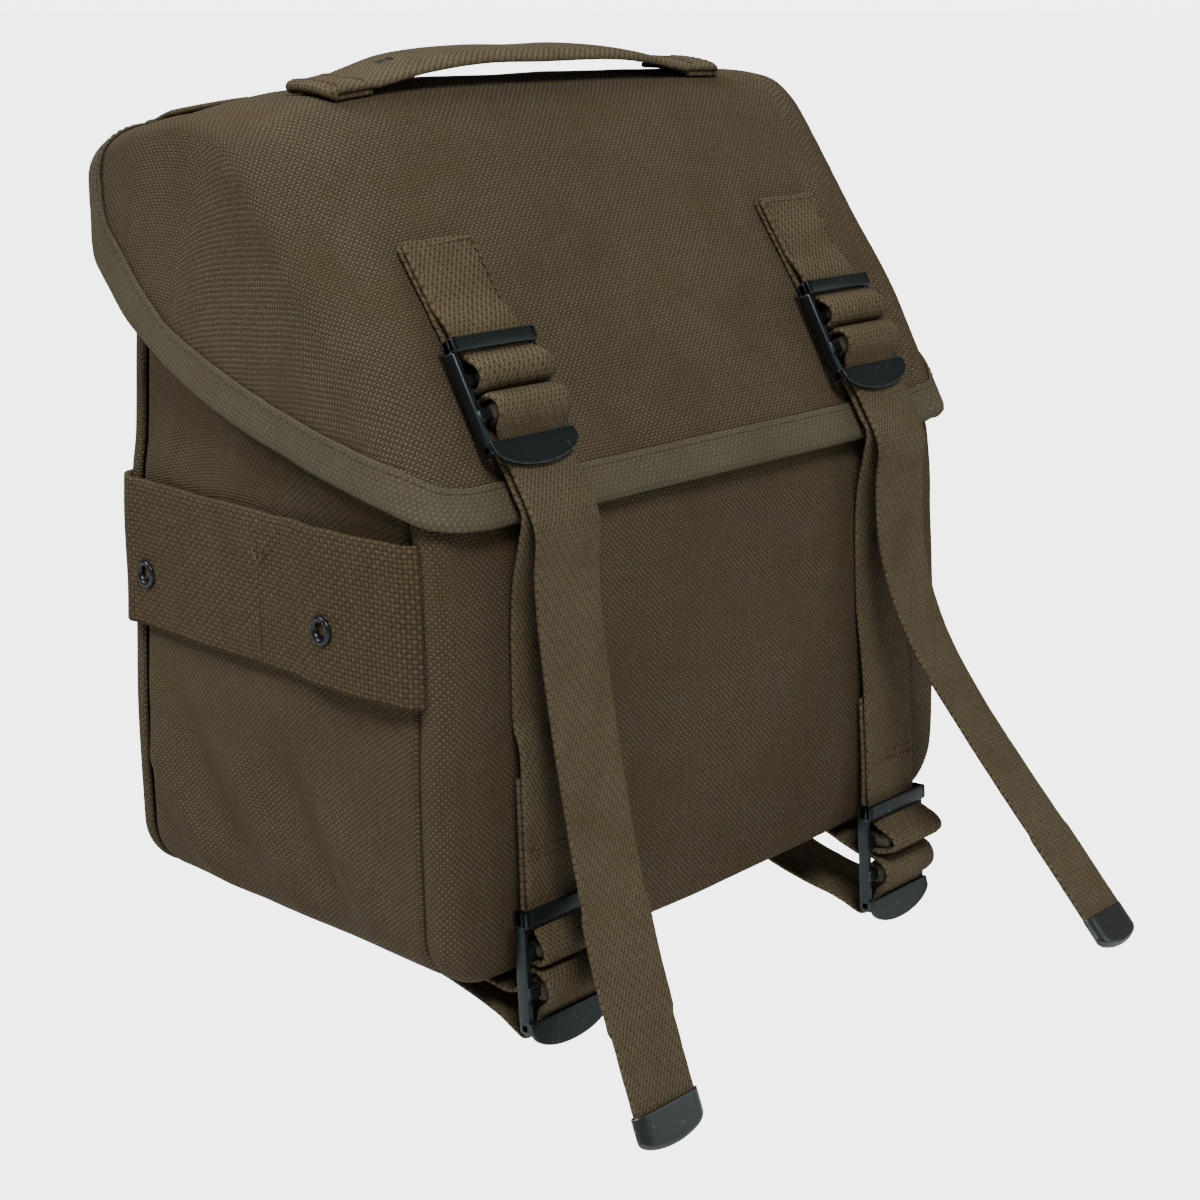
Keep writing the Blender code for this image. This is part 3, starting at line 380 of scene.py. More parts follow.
bandStyle = dict(webStyle, across=1.35, along=1.5, brick=False, pits=False, power=0.4, hollowShade=0.36,
                 drift=0.25, warp=(0.076, 0.056, 0.030), weft=(0.110, 0.084, 0.048), dots=0.25)
tabStyle = dict(webStyle, across=1.6, along=1.3, relief=0.45,
                warp=(0.108, 0.084, 0.047), weft=(0.138, 0.110, 0.064))
tapeStyle = {"across": 1.25, "along": 1.0, "power": 0.45, "hollowShade": 0.68, "relief": 0.16, "fuzz": 0.03,
             "drift": 0.2, "driftScale": 80.0, "warp": (0.094, 0.081, 0.050), "weft": (0.124, 0.110, 0.071),
             "dots": 0.2, "dotColour": (0.20, 0.180, 0.115), "streaks": 0.15,
             "patches": 0.35, "patchScale": 50.0, "patchColour": (0.10, 0.080, 0.043),
             "clouds": 0.3, "cloudScale": 30.0, "rumple": 0.3, "rumpleScale": 220.0}


def steelMaterial(name, base, worn, roughness):
    material = bpy.data.materials.new(name)
    material.use_nodes = True
    tree = material.node_tree
    shader = tree.nodes["Principled BSDF"]
    spot = addNode(tree, "ShaderNodeTexCoord").outputs["Object"]
    rounded = addNode(tree, "ShaderNodeBevel", {"Radius": 0.0006}, samples=4).outputs[0]
    flatNormal = addNode(tree, "ShaderNodeNewGeometry").outputs["Normal"]
    edge = addNode(tree, "ShaderNodeVectorMath", {0: rounded, 1: flatNormal}, operation="DOT_PRODUCT")
    edge = window(tree, calc(tree, "SUBTRACT", 1.0, edge.outputs["Value"]), 0.02, 0.16)
    grain = noiseField(tree, spot, 700.0, 3.0, 0.65)
    rub = calc(tree, "MULTIPLY", edge, window(tree, grain, 0.38, 0.62))
    scuff = calc(tree, "MULTIPLY", window(tree, noiseField(tree, spot, 260.0, 4.0, 0.7), 0.60, 0.74), 0.35)
    wear = calc(tree, "MAXIMUM", rub, scuff)
    tree.links.new(mixColour(tree, wear, base, worn), shader.inputs["Base Color"])
    shader.inputs["Metallic"].default_value = 0.85
    tree.links.new(calc(tree, "MULTIPLY_ADD", grain, 0.22, roughness), shader.inputs["Roughness"])
    height = calc(tree, "MULTIPLY", grain, 0.00002)
    bump = addNode(tree, "ShaderNodeBump", {"Height": height, "Distance": 1.0})
    tree.links.new(bump.outputs[0], shader.inputs["Normal"])
    return material


def threadMaterial(name, low, high):
    material = bpy.data.materials.new(name)
    material.use_nodes = True
    tree = material.node_tree
    shader = tree.nodes["Principled BSDF"]
    spot = addNode(tree, "ShaderNodeTexCoord").outputs["Object"]
    tree.links.new(mixColour(tree, window(tree, noiseField(tree, spot, 400.0), 0.35, 0.65), low, high),
                   shader.inputs["Base Color"])
    shader.inputs["Roughness"].default_value = 0.75
    return material


canvasCloth = wovenMaterial("canvasCloth", canvasStyle)
flapCloth = wovenMaterial("flapCloth", flapStyle)
strapWeb = wovenMaterial("strapWeb", webStyle)
bandWeb = wovenMaterial("bandWeb", bandStyle)
tabWeb = wovenMaterial("tabWeb", tabStyle)
bindingTape = wovenMaterial("bindingTape", tapeStyle)
blackSteel = steelMaterial("blackSteel", (0.034, 0.043, 0.045), (0.20, 0.24, 0.25), 0.27)
tipSteel = steelMaterial("tipSteel", (0.072, 0.080, 0.080), (0.32, 0.36, 0.37), 0.20)
eyeletSteel = steelMaterial("eyeletSteel", (0.035, 0.039, 0.042), (0.22, 0.23, 0.24), 0.20)
tapeThread = threadMaterial("tapeThread", (0.042, 0.034, 0.020), (0.080, 0.066, 0.040))
brownThread = threadMaterial("brownThread", (0.055, 0.033, 0.016), (0.125, 0.075, 0.038))
# dark brown painted shade for the blocks inside the strap folds
webCoreShade = threadMaterial("webCoreShade", (0.040, 0.031, 0.016), (0.080, 0.063, 0.035))
darkThread = threadMaterial("darkThread", (0.012, 0.012, 0.011), (0.030, 0.028, 0.024))
print("materials made")


# Body

def halfWidth(z):
    return readTable(bag["halfWidth"], z)


flapLine = evenLine(smoothLine([(0.0, y, z) for y, z in flapShape["line"]], 1.0), 1.0)
flapLength = wayAlong(flapLine)[-1]
flapStep = flapLength / (len(flapLine) - 1)


def crown(x, t):
    side = -1 if x < 0 else 1
    return (flapShape["crown"][side] * min(abs(x) / flapShape["foldStart"], 1.0) ** 4
            * readTable(flapShape["crownShare"], t / flapLength))


def sag(x, z):
    share = 1.0 - (x / halfWidth(0.0)) ** 2
    return bag["bottomSag"] * max(share, 0.0) * max(0.0, 1.0 - z / 60.0)


panelShape = {"turn": 2.0, "columns": 120, "cornerRows": 14, "rows": 96}


def panelGrid(radius, top, faceAt, relief, front):
    reach = radius * (panelShape["turn"] - 1.0)    # cloth beyond the outline
    corner = bag["cornerRadius"] + reach
    low = -reach
    corners = [low + corner * (1.0 - math.cos(math.pi / 2 * k / panelShape["cornerRows"]))
               for k in range(panelShape["cornerRows"])]
    count = panelShape["rows"] - panelShape["cornerRows"]
    levels = corners + [low + corner + (top - low - corner) * k / count for k in range(count + 1)]

    def flatPlace(a, b):
        z = levels[round(b * panelShape["rows"])]
        half = halfWidth(z) + reach
        if z < low + corner:
            half -= corner - math.sqrt(max(corner ** 2 - (low + corner - z) ** 2, 0.0))
        s = 2.0 * a - 1.0
        return half * (s + 0.10 * math.sin(math.pi * s)), z    # columns closer at the sides

    def place(a, b):
        x, z = flatPlace(a, b)
        side = -1.0 if x < 0 else 1.0
        fromCorner = Vector((abs(x) - (halfWidth(z) - bag["cornerRadius"]), bag["cornerRadius"] - z))
        if fromCorner.x > 0 and fromCorner.y > 0:
            over = fromCorner.length - (bag["cornerRadius"] - radius)
            out = Vector((fromCorner.x, -fromCorner.y)).normalized()
        elif abs(x) - (halfWidth(z) - radius) > radius - z:
            over, out = abs(x) - (halfWidth(z) - radius), Vector((1.0, 0.0))
        else:
            over, out = radius - z, Vector((0.0, -1.0))
        depth = 0.0
        px, pz = abs(x), z
        if over > 0:
            angle = over / radius
            px += out.x * (radius * math.sin(angle) - over)
            pz += out.y * (radius * math.sin(angle) - over)
            depth = radius * (1.0 - math.cos(angle))
        calm = ease((radius * 1.6 - over) / radius) if over > 0 else 1.0
        outward = -1.0 if front else 1.0
        y = faceAt(px, max(pz, 0.0)) + outward * (relief(side * px, pz) * calm - depth)
        if not front:    # its top follows the back edge of the flap
            pz -= crown(-side * px, 0.0) * clamp01((pz - 190.0) / 38.0)
        return -outward * side * px, y, pz - sag(px, max(pz, 0.0))

    return clothGrid(panelShape["columns"], panelShape["rows"], place, flatPlace)


frontFolds = [(-60, 150, -20, 128, 0.9, 9), (20, 60, 62, 30, 0.8, 10), (-52, 62, -20, 22, 0.8, 9),
              (97, 60, 104, 22, 0.9, 5), (-102, 70, -98, 24, 0.8, 5), (48, 112, 58, 60, 0.7, 7),
              (-30, 30, 30, 24, 0.7, 8)]


def frontRelief(x, z):
    near = math.exp(-((abs(x) - 79.0) / 17.0) ** 4)
    loose = 1.0 - 0.85 * near
    return loose * (0.9 * wobble(x, 0, z, 46.0, 1.3) + 0.28 * wobble(x, 0, z, 15.0, 7.7)
                    + foldHeight(frontFolds, x, z) * 0.8)


def frontAt(x, z):
    middle = max(0.0, 1.0 - (x / halfWidth(z)) ** 2) * math.sin(math.pi * clamp01(z / 200.0))
    return readTable(bag["frontFace"], z) - bag["frontBulge"] * middle


def backAt(x, z):    # the back panel is flat
    return 0.0


def backRelief(x, z):
    return 0.35 * wobble(x, 5, z, 40.0, 4.4) - 0.3


finishPiece(panelGrid(bag["frontRim"], bag["frontTop"], frontAt, frontRelief, True), "frontPanel",
            canvasCloth, ["front_panel"], wall=bag["clothWall"])
finishPiece(panelGrid(bag["backRim"], bag["backTop"], backAt, backRelief, False), "backPanel",
            canvasCloth, ["back_panel"], wall=bag["clothWall"])

gussetShape = {"columns": 56, "sideRows": 84, "cornerRows": 12, "bottomRows": 60, "edgeRoll": 4.2,
               "cutWidth": 132.0, "cutLength": 640.0}
gussetTotal = 2 * gussetShape["sideRows"] + 2 * gussetShape["cornerRows"] + gussetShape["bottomRows"]
sideFolds = [(-8.6, 46.3, -35.7, 13.8, 2.8, 5.5), (-49.6, 48.9, -75.7, 14.4, 2.6, 6.0),
             (-30, 50, -55, 18, -2.0, 6), (-72, 52, -98, 14, -2.2, 7), (-92, 44, -114, 16, 2.2, 7),
             (-14, 72, -30, 50, -1.8, 6), (-15.1, 140.1, -29.6, 127.3, 1.3, 4),
             (-25.6, 147.5, -21.5, 129, 1.2, 3.5), (-60, 145, -52, 128, 0.9, 6),
             (-95, 76, -60, 70, 0.7, 6), (-20, 80, -12, 60, 0.8, 5)]


def gussetPlace(a, b):
    side = gussetShape["sideRows"]
    i = round(b * gussetTotal)
    sign = -1.0 if i <= gussetTotal / 2 else 1.0
    j = i if sign < 0 else gussetTotal - i
    radius = bag["cornerRadius"]
    mouth = readTable(bag["mouthEdge"], a)
    swell = 0.0
    if j <= side:
        k = 1.0 - j / side
        z = radius + k * (mouth - radius)
        x = halfWidth(z) + bag["sideBulge"] * math.sin(math.pi * a) * math.sin(math.pi * k)
        out = Vector((1.0, 0.0))
    elif j <= side + gussetShape["cornerRows"]:
        angle = math.pi / 2 * (j - side) / gussetShape["cornerRows"]
        z = radius * (1.0 - math.sin(angle))
        x = halfWidth(z) - radius * (1.0 - math.cos(angle))
        out = Vector((math.cos(angle), -math.sin(angle)))
    else:
        share = (j - side - gussetShape["cornerRows"]) / gussetShape["bottomRows"]
        z = 0.0
        x = (halfWidth(0.0) - radius) * (1.0 - 2.0 * share)
        out = Vector((0.0, -1.0))
    front = readTable(bag["frontFace"], z) + bag["frontRim"] + bag["seamGroove"] + 0.6
    back = -bag["backRim"] - bag["seamGroove"] - 0.4
    y = front + a * (back - front)
    roll = gussetShape["edgeRoll"]
    for edge in (y - front, back - y):
        if edge < roll:
            swell -= roll - math.sqrt(max(roll ** 2 - (roll - edge) ** 2, 0.0))
    calm = ease(min(y - front, back - y) / 6.0)
    if out.x > 0.5:
        height = foldHeight(sideFolds, y, z) if sign < 0 else foldHeight(sideFolds, y + 6, z - 4) * 0.8
        behindBand = math.exp(-((z - 105.0) / 30.0) ** 6)
        loose = height + 1.1 * wobble(sign * 9, y, z, 32.0, 2.2)
        swell += calm * (loose * (1.0 - behindBand) - 0.3 * behindBand)
    else:
        pinch = math.exp(-((x * sign + 92) / 9.0) ** 2) * math.exp(-((y - front - 5.5) / 3.2) ** 2)
        swell += calm * 0.6 * wobble(x * sign, y, 0, 36.0, 6.1) + 1.7 * pinch
    return sign * (x + out.x * swell), y, z + out.y * swell - sag(x, z)


def gussetFlat(a, b):
    return a * gussetShape["cutWidth"], b * gussetShape["cutLength"]


finishPiece(clothGrid(gussetShape["columns"], gussetTotal, gussetPlace, gussetFlat), "gussetCloth",
            canvasCloth, ["gusset"], wall=bag["clothWall"])
backSewing = {"heights": (222.5, 217.5), "reach": 100, "pitch": 2.6, "length": 2.0, "radius": 0.33}
seams = bmesh.new()    # two rows on the back, under the edge of the flap
for z in backSewing["heights"]:
    points = [Vector((x, 0.1, z - crown(x, 0.0) * 0.85))
              for x in range(-backSewing["reach"], backSewing["reach"] + 1, 4)]
    stitchRow(seams, points, [Vector((0, 1, 0))] * len(points), backSewing["pitch"], backSewing["length"],
              backSewing["radius"])
finishPiece(seams, "backSeams", tapeThread)
print("body made")


# Flap

def flapProfile(t):
    t = min(max(t, 0.0), flapLength)
    i = min(int(t / flapStep), len(flapLine) - 2)
    share = t / flapStep - i
    point = flapLine[i].lerp(flapLine[i + 1], share)
    last = len(flapLine) - 1
    low = flapLine[min(i + 1, last)] - flapLine[max(i - 1, 0)]
    high = flapLine[min(i + 2, last)] - flapLine[i]
    tangent = low.lerp(high, share).normalized()
    return point, tangent, Vector((0.0, tangent.z, -tangent.y))


def wing(t):
    way = min(max(t / flapLength, 0.0), 1.0)
    edge = Vector((0.0, readTable(flapShape["wingEdge"], way, 1), readTable(flapShape["wingEdge"], way, 2)))
    step = edge - flapProfile(t)[0]
    return step.normalized(), step.length


def flapHalf(t):
    depth = wing(t)[1]
    radius = flapShape["foldRadius"]
    width = radius * math.pi / 2 + depth - radius
    if depth < radius:
        width = radius * math.acos(1.0 - depth / radius)
    cut = readTable(flapShape["frontCorner"], flapLength - t) + readTable(flapShape["backCorner"], t)
    return flapShape["foldStart"] + width - cut


flapFolds = [(94, 106, 91, 186, -0.9, 4.0), (101, 108, 99, 178, 1.3, 4.2), (-80, 44, -66, 60, -1.2, 9),
             (-112, 55, -110, 135, -1.5, 9), (-128, 70, -122, 120, 1.0, 8), (108, 60, 112, 120, -0.9, 8),
             (-98, 120, -97, 185, 0.8, 5), (-40, 90, 30, 96, 0.7, 8), (-20, 150, 50, 158, -0.5, 12)]


def flapRelief(a, t):
    calm = 1.0 - 0.85 * math.exp(-((abs(a) - 77.0) / 17.0) ** 4) * ease((t - 100.0) / 14.0)
    calm *= 1.0 - 0.8 * math.exp(-((t - 64.0) / 14.0) ** 4) * ease((96.0 - abs(a)) / 10.0)
    calm *= 1.0 - 0.8 * math.exp(-((abs(a) - 84.0) / 18.0) ** 4) * ease((22.0 - t) / 8.0)
    ripples = 0.55 * wobble(a, t, 0, 38.0, 3.3) + 0.2 * wobble(a, t, 0, 13.0, 9.1)
    return calm * ripples + foldHeight(flapFolds, a, t)


def flapBase(a, t):
    point = flapProfile(t)[0]
    side = -1.0 if a < 0 else 1.0
    reach = abs(a)
    start, radius = flapShape["foldStart"], flapShape["foldRadius"]
    x = min(reach, start)
    drop = crown(a, t)
    if reach > start:
        step = wing(t)[0]
        over = reach - start
        angle = min(over / radius, math.pi / 2)
        power = flapShape["foldPower"][int(side)]
        x += radius * math.sin(angle) ** power
        depth = radius * (1.0 - max(math.cos(angle), 0.0) ** power) + max(over - radius * math.pi / 2, 0.0)
        drop *= math.cos(angle)
        point = point + step * depth
    return Vector((side * x, point.y, point.z - drop))


def flapPlace(a, t, off=0.0):
    d = 0.5
    t = min(max(t, 0.0), flapLength)
    du = flapBase(a + d, t) - flapBase(a - d, t)
    dt = flapBase(a, min(t + d, flapLength)) - flapBase(a, max(t - d, 0.0))
    normal = dt.cross(du).normalized()
    return flapBase(a, t) + normal * (off + flapRelief(a, t))


flapGrid = {"columns": 156, "rows": 120}


def flapRow(share):    # rows closer at the front and back edges
    return flapLength * (share - 0.075 * math.sin(2.0 * math.pi * share))


def flapFlat(a, b):
    t = flapRow(1.0 - b)
    return (2.0 * a - 1.0) * flapHalf(t), t


def flapSpot(a, b):
    return flapPlace(*flapFlat(a, b))


finishPiece(clothGrid(flapGrid["columns"], flapGrid["rows"], flapSpot, flapFlat), "flapCanvas", flapCloth,
            ["flap"], wall=flapShape["wall"])

bindingShape = {"width": 10.0, "cloth": 0.8, "air": 0.15, "step": 1.1, "stitchInset": 8.4}


def flapEdge():    # free edge in cloth lengths, from the back on the left to the back on the right
    start = flapShape["foldStart"]
    half = flapHalf(0.0)
    left = [Vector((-(start + (half - start) * k / 10.0), 0.0, 0.0)) for k in range(11)]
    left += [Vector((-flapHalf(flapRow(k / 150.0)), flapRow(k / 150.0), 0.0)) for k in range(1, 151)]
    right = [Vector((-p.x, p.y, 0.0)) for p in reversed(left)]
    return soften(evenLine(left + right, bindingShape["step"]), 6)


edgeLine = flapEdge()
edgeInward = []
for i in range(len(edgeLine)):
    low, high = max(i - 4, 0), min(i + 4, len(edgeLine) - 1)
    course = (edgeLine[high] - edgeLine[low]).normalized()
    edgeInward.append(Vector((course.y, -course.x, 0.0)))


def bindingPoint(i, s):    # s: from the inner edge of the tape outside (0) round to the inside (1)
    mid = bindingShape["air"] + bindingShape["cloth"] / 2
    wall = flapShape["wall"]
    edge, inward = edgeLine[i], edgeInward[i]
    width = bindingShape["width"] * (1.0 + 0.03 * wobble(i * bindingShape["step"], 0, 0, 7.0, 5.5))
    flat = 0.42
    if s < flat:
        spot = edge + inward * width * (1.0 - s / flat)
        return flapPlace(spot.x, spot.y, mid)
    if s > 1.0 - flat:
        spot = edge + inward * width * (s - 1.0 + flat) / flat
        return flapPlace(spot.x, spot.y, -wall - mid)
    centre = flapPlace(edge.x, edge.y, -wall / 2)
    inner = flapPlace(edge.x + inward.x, edge.y + inward.y, -wall / 2)
    outer = flapPlace(edge.x, edge.y, 0.0)
    away, up = (centre - inner).normalized(), (outer - centre).normalized()
    angle = math.pi * (s - flat) / (1.0 - 2 * flat)
    return centre + up * math.cos(angle) * (wall / 2 + mid) + away * math.sin(angle) * (wall / 2 + mid)


edgeCount = len(edgeLine) - 1


def bindingSpot(a, b):
    return bindingPoint(round(b * edgeCount), a)


def bindingFlat(a, b):
    return (a - 0.5) * 24.0 + 5.0, b * edgeCount * bindingShape["step"]


finishPiece(clothGrid(24, edgeCount, bindingSpot, bindingFlat), "flapBinding", bindingTape,
            ["flap_binding"], wall=bindingShape["cloth"], offset=0.0)
stitches = bmesh.new()
inset = bindingShape["stitchInset"]
seamSpots = [edgeLine[i] + edgeInward[i] * inset for i in range(len(edgeLine))]
lift = bindingShape["air"] + bindingShape["cloth"]
seamPoints = [flapPlace(p.x, p.y, lift) for p in seamSpots]
seamNormals = [(flapPlace(p.x, p.y, lift + 1.0) - q).normalized() for p, q in zip(seamSpots, seamPoints)]
stitchRow(stitches, seamPoints, seamNormals, 2.4, 1.9, 0.27)
finishPiece(stitches, "bindingStitches", tapeThread)
print("flap made")


# Buckles: u runs down along the strap, n away from the bag

buckleShape = {"half": 15.9, "rail": 2.4, "railDepth": 4.0, "lift": 3.2, "barBack": 3.9, "barFront": 5.4,
               "firstCross": 11.5, "secondCross": 22.5, "lipStart": 31.0, "lipDepth": 9.5,
               "upperFromEdge": 48.0, "upperX": 77.0, "lowerX": 80.0, "lowerHeight": {-1: 21.0, 1: 6.5},
               "lowerFront": {-1: -147.3, 1: -147.6}, "shift": -1.5,
               "squeeze": 0.92}    # the upper ones are a little shorter


def seatAtFlap(t, x):
    point, _, normal = flapProfile(t)
    start = Vector((x, point.y, point.z - crown(x, t))) + normal * buckleShape["lift"]
    down = (flapProfile(t + 40.0)[0] - point).normalized()
    return start, down * buckleShape["squeeze"], Vector((0.0, down.z, -down.y))


def seatAtFront(side):
    down = Vector((0.0, -0.07, -0.9975)).normalized()
    front, height = buckleShape["lowerFront"][side], buckleShape["lowerHeight"][side]
    return Vector((side * buckleShape["lowerX"], front, height)), down, Vector((0.0, down.z, -down.y))


def seatPoint(seat, u, n, x=0.0):
    start, down, normal = seat
    return start + down * u + normal * n + Vector((x, 0.0, 0.0))


def addBlock(bm, x0, x1, u0, u1, n0, n1, rounding, segments=3):
    middle = Matrix.Translation(((x0 + x1) / 2, (u0 + u1) / 2, (n0 + n1) / 2))
    size = Matrix.Diagonal((x1 - x0, u1 - u0, n1 - n0, 1.0))
    made = bmesh.ops.create_cube(bm, size=1.0, matrix=middle @ size)
    edges = {edge for vert in made["verts"] for edge in vert.link_edges}
    bmesh.ops.bevel(bm, geom=list(edges), offset=rounding, segments=segments, profile=0.5, affect="EDGES",
                    clamp_overlap=True, material=-1)


def makeBuckle(name, seat, node):
    s = buckleShape
    bm = bmesh.new()
    inner = s["half"] - s["rail"]
    for side in (-1, 1):
        x0, x1 = sorted((side * inner, side * s["half"]))
        addBlock(bm, x0, x1, -1.9, s["lipStart"] + 3.4, 0.0, s["railDepth"], 0.7)
        addBlock(bm, x0, x1, -1.9, 2.9, 0.8, s["barFront"], 0.7)
        addBlock(bm, x0, x1, s["lipStart"] + 0.2, s["lipStart"] + 3.8, 0.8, s["barBack"] + 1.15, 0.7)
    addBlock(bm, -s["half"], s["half"], -1.9, 3.0, s["barBack"] - 0.5, s["barFront"], 0.7)
    for u, low, high in ((s["firstCross"] - 0.2, 0.6, 3.6), (s["secondCross"], 0.8, 4.4)):
        addBlock(bm, -s["half"] + 0.5, s["half"] - 1.6, u - 1.9, u + 1.9, low, high, 0.8)
    lip = bmesh.ops.create_grid(bm, x_segments=36, y_segments=10, size=0.5)["verts"]
    for vert in lip:
        x = 2.0 * vert.co.x * s["half"]
        share = vert.co.y + 0.5
        reach = 2.0 + (s["lipDepth"] - 2.0) * math.sqrt(max(1.0 - (x / (s["half"] + 0.25)) ** 2, 0.0))
        level = s["barBack"] + 1.5 + 0.45 * share ** 2 - 0.35 * (1.0 - share) ** 3
        vert.co = Vector((x, s["lipStart"] + reach * share, level))
    lipFaces = {face for vert in lip for face in vert.link_faces}
    shell = bmesh.ops.solidify(bm, geom=list(lipFaces), thickness=1.25)["geom"]
    lipAll = lipFaces | {g for g in shell if isinstance(g, bmesh.types.BMFace)}
    rim = {edge for face in lipAll for edge in face.edges
           if edge.is_manifold and edge.calc_face_angle(0.0) > 0.9}
    bmesh.ops.bevel(bm, geom=list(rim), offset=0.4, segments=3, profile=0.5, affect="EDGES",
                    clamp_overlap=True, material=-1)
    for vert in bm.verts:
        vert.co = toRow(seatPoint(seat, vert.co.y, vert.co.z, vert.co.x + s["shift"]))
    bmesh.ops.recalc_face_normals(bm, faces=bm.faces)
    return finishPiece(bm, name, blackSteel, [node])


upperT = flapLength - buckleShape["upperFromEdge"]
upperSeats = {side: seatAtFlap(upperT, side * buckleShape["upperX"]) for side in (-1, 1)}
lowerSeats = {side: seatAtFront(side) for side in (-1, 1)}
words = {-1: "Left", 1: "Right"}
for side in (-1, 1):
    tail = words[side].lower()
    makeBuckle("upperBuckle" + words[side], upperSeats[side], "upper_buckle_" + tail)
    makeBuckle("lowerBuckle" + words[side], lowerSeats[side], "lower_buckle_" + tail)
print("buckles made")


# Straps

strapShape = {"width": 25.4, "thick": 1.9, "step": 1.3}
foldOverFirst = [(-6.0, 0.95), (0.0, 1.3), (3.5, 2.4), (5.8, 4.8), (8.8, 7.2), (11.8, 7.7), (14.1, 6.1),
                 (14.9, 3.2), (14.6, 0.2), (12.6, -1.5), (9.2, -1.6)]    # along and out from a buckle
looseFold = [(-6.0, 0.95), (0.0, 1.3), (3.8, 2.2), (5.7, 5.5), (7.6, 9.8), (10.2, 12.2), (12.7, 10.8),
             (14.0, 7.0), (14.6, 3.2), (14.3, 0.2), (12.6, -1.5), (9.2, -1.6)]
foldOverSecond = [(25.5, -1.6), (20.6, -1.5), (17.8, 0.2), (17.2, 3.4), (18.0, 6.5), (20.8, 8.6),
                  (24.2, 8.4), (26.6, 6.3), (28.3, 4.1), (31.2, 2.75), (36.0, 2.65), (42.0, 3.2)]
turnBack = foldOverSecond[3:-2] + [(34.2, 1.9), (36.6, 0.2), (36.6, -2.4)]
freeEnds = {-1: [(-149.7, 130), (-149.4, 118), (-150.2, 106), (-152.6, 90), (-157.2, 66), (-164, 36),
                 (-171.5, 9), (-180.5, -16), (-187.2, -33)],
            1: [(-149.7, 130), (-149.4, 118), (-150, 107), (-151.8, 94), (-156.8, 79), (-165.5, 63.5),
                (-178, 48), (-196.5, 28), (-215.5, 8.5), (-234, -11)]}    # y and z
frontRun = [(-142.4, 74), (-141.6, 88), (-141.2, 102), (-141.8, 114), (-143.9, 125)]
rollTails = {-1: [(-146, -18), (-136, -13.8), (-122, -10.5)],
             1: [(-147, -31.5), (-136, -28.4), (-122, -26.4), (-106, -22.8), (-88, -15.6), (-70, -9.0)]}


def bulge(line, seat):    # wider where the strap stands above the rails of a buckle
    start, down, normal = seat
    wider = []
    for p in line:
        inside = -2 < (p - start).dot(down) < 31
        wider.append(0.9 * ease(((p - start).dot(normal) - 2.6) / 2.4) if inside else 0.0)
    return wider


def overFlap(x, t, off):
    point, _, normal = flapProfile(t)
    return Vector((x, point.y, point.z - crown(x, t))) + normal * off


def dressLine(points):
    return evenLine(smoothLine(points, 0.7), strapShape["step"])


def tabLine(side):
    seat, top, x = upperSeats[side], upperT - 34.0, side * buckleShape["upperX"]
    rear, front = 1.1, 3.0
    path = [overFlap(x, top + k * 7.0, front) for k in range(4)]
    path += [seatPoint(seat, u, n) for u, n in foldOverFirst] + [seatPoint(seat, 3.0, -1.55)]
    return path + [overFlap(x, top + k * 7.0, rear) for k in (4, 3, 2, 1, 0)]


def closureLine(side):
    low, high = lowerSeats[side], upperSeats[side]
    x = side * buckleShape["upperX"]
    path = [seatPoint(low, u, n) for u, n in ((-38, -1.0), (-25, -1.0), (-12, -1.1), (0, -1.3))]
    path += [seatPoint(low, u, n) for u, n in reversed(foldOverFirst if side < 0 else looseFold)]
    path += [seatPoint(low, u, n) for u, n in ((-15, 0.95), (-30, 0.95), (-46, 0.9))]
    path += [Vector((x, y, z)) for y, z in frontRun]
    edge, down, normal = flapProfile(flapLength)
    for back, off in ((-1.5, 3.85), (4, 3.8), (9, 3.6)):    # over the front edge of the flap
        path.append(edge - down * back + normal * off)
    path += [seatPoint(high, u, n) for u, n in [(34.6, 0.0), (30.0, -1.4)] + foldOverSecond]
    leaning = buckleShape["upperX"] - buckleShape["lowerX"]
    for p in path:
        p.x = side * (buckleShape["lowerX"] + clamp01((p.z - 20.0) / 120.0) * leaning)
    return path + [Vector((x, y, z)) for y, z in freeEnds[side]]


def rollLine(side):
    seat, x = lowerSeats[side], side * buckleShape["lowerX"]
    flat = -sag(abs(x) - strapShape["width"] / 2, 0.0) - 1.9
    path = [Vector((x, y, flat)) for y in (-30, -60, -90, -116)]
    if side < 0:
        path += [Vector((x, -132, flat - 0.3)), Vector((x, -141, flat - 0.6)), seatPoint(seat, 21.6, -2.0),
                 seatPoint(seat, 18.0, -0.5)]
        tail = rollTails[side] + [(-106, flat - 3.6), (-85, flat - 3), (-60, flat - 2.8)]
    else:
        path += [Vector((x, -129, flat - 1.0)), Vector((x, -139, -8.6)), seatPoint(seat, 16.8, -2.8),
                 seatPoint(seat, 16.6, 0.4)]
        tail = rollTails[side] + [(-50, flat - 2.9)]
    return path + [seatPoint(seat, u, n) for u, n in turnBack] + [Vector((x, y, z)) for y, z in tail]


tipShape = {"start": -3.4, "straight": 3.0, "nose": 5.0, "half": 13.4, "level": 1.65, "cloth": 0.55}


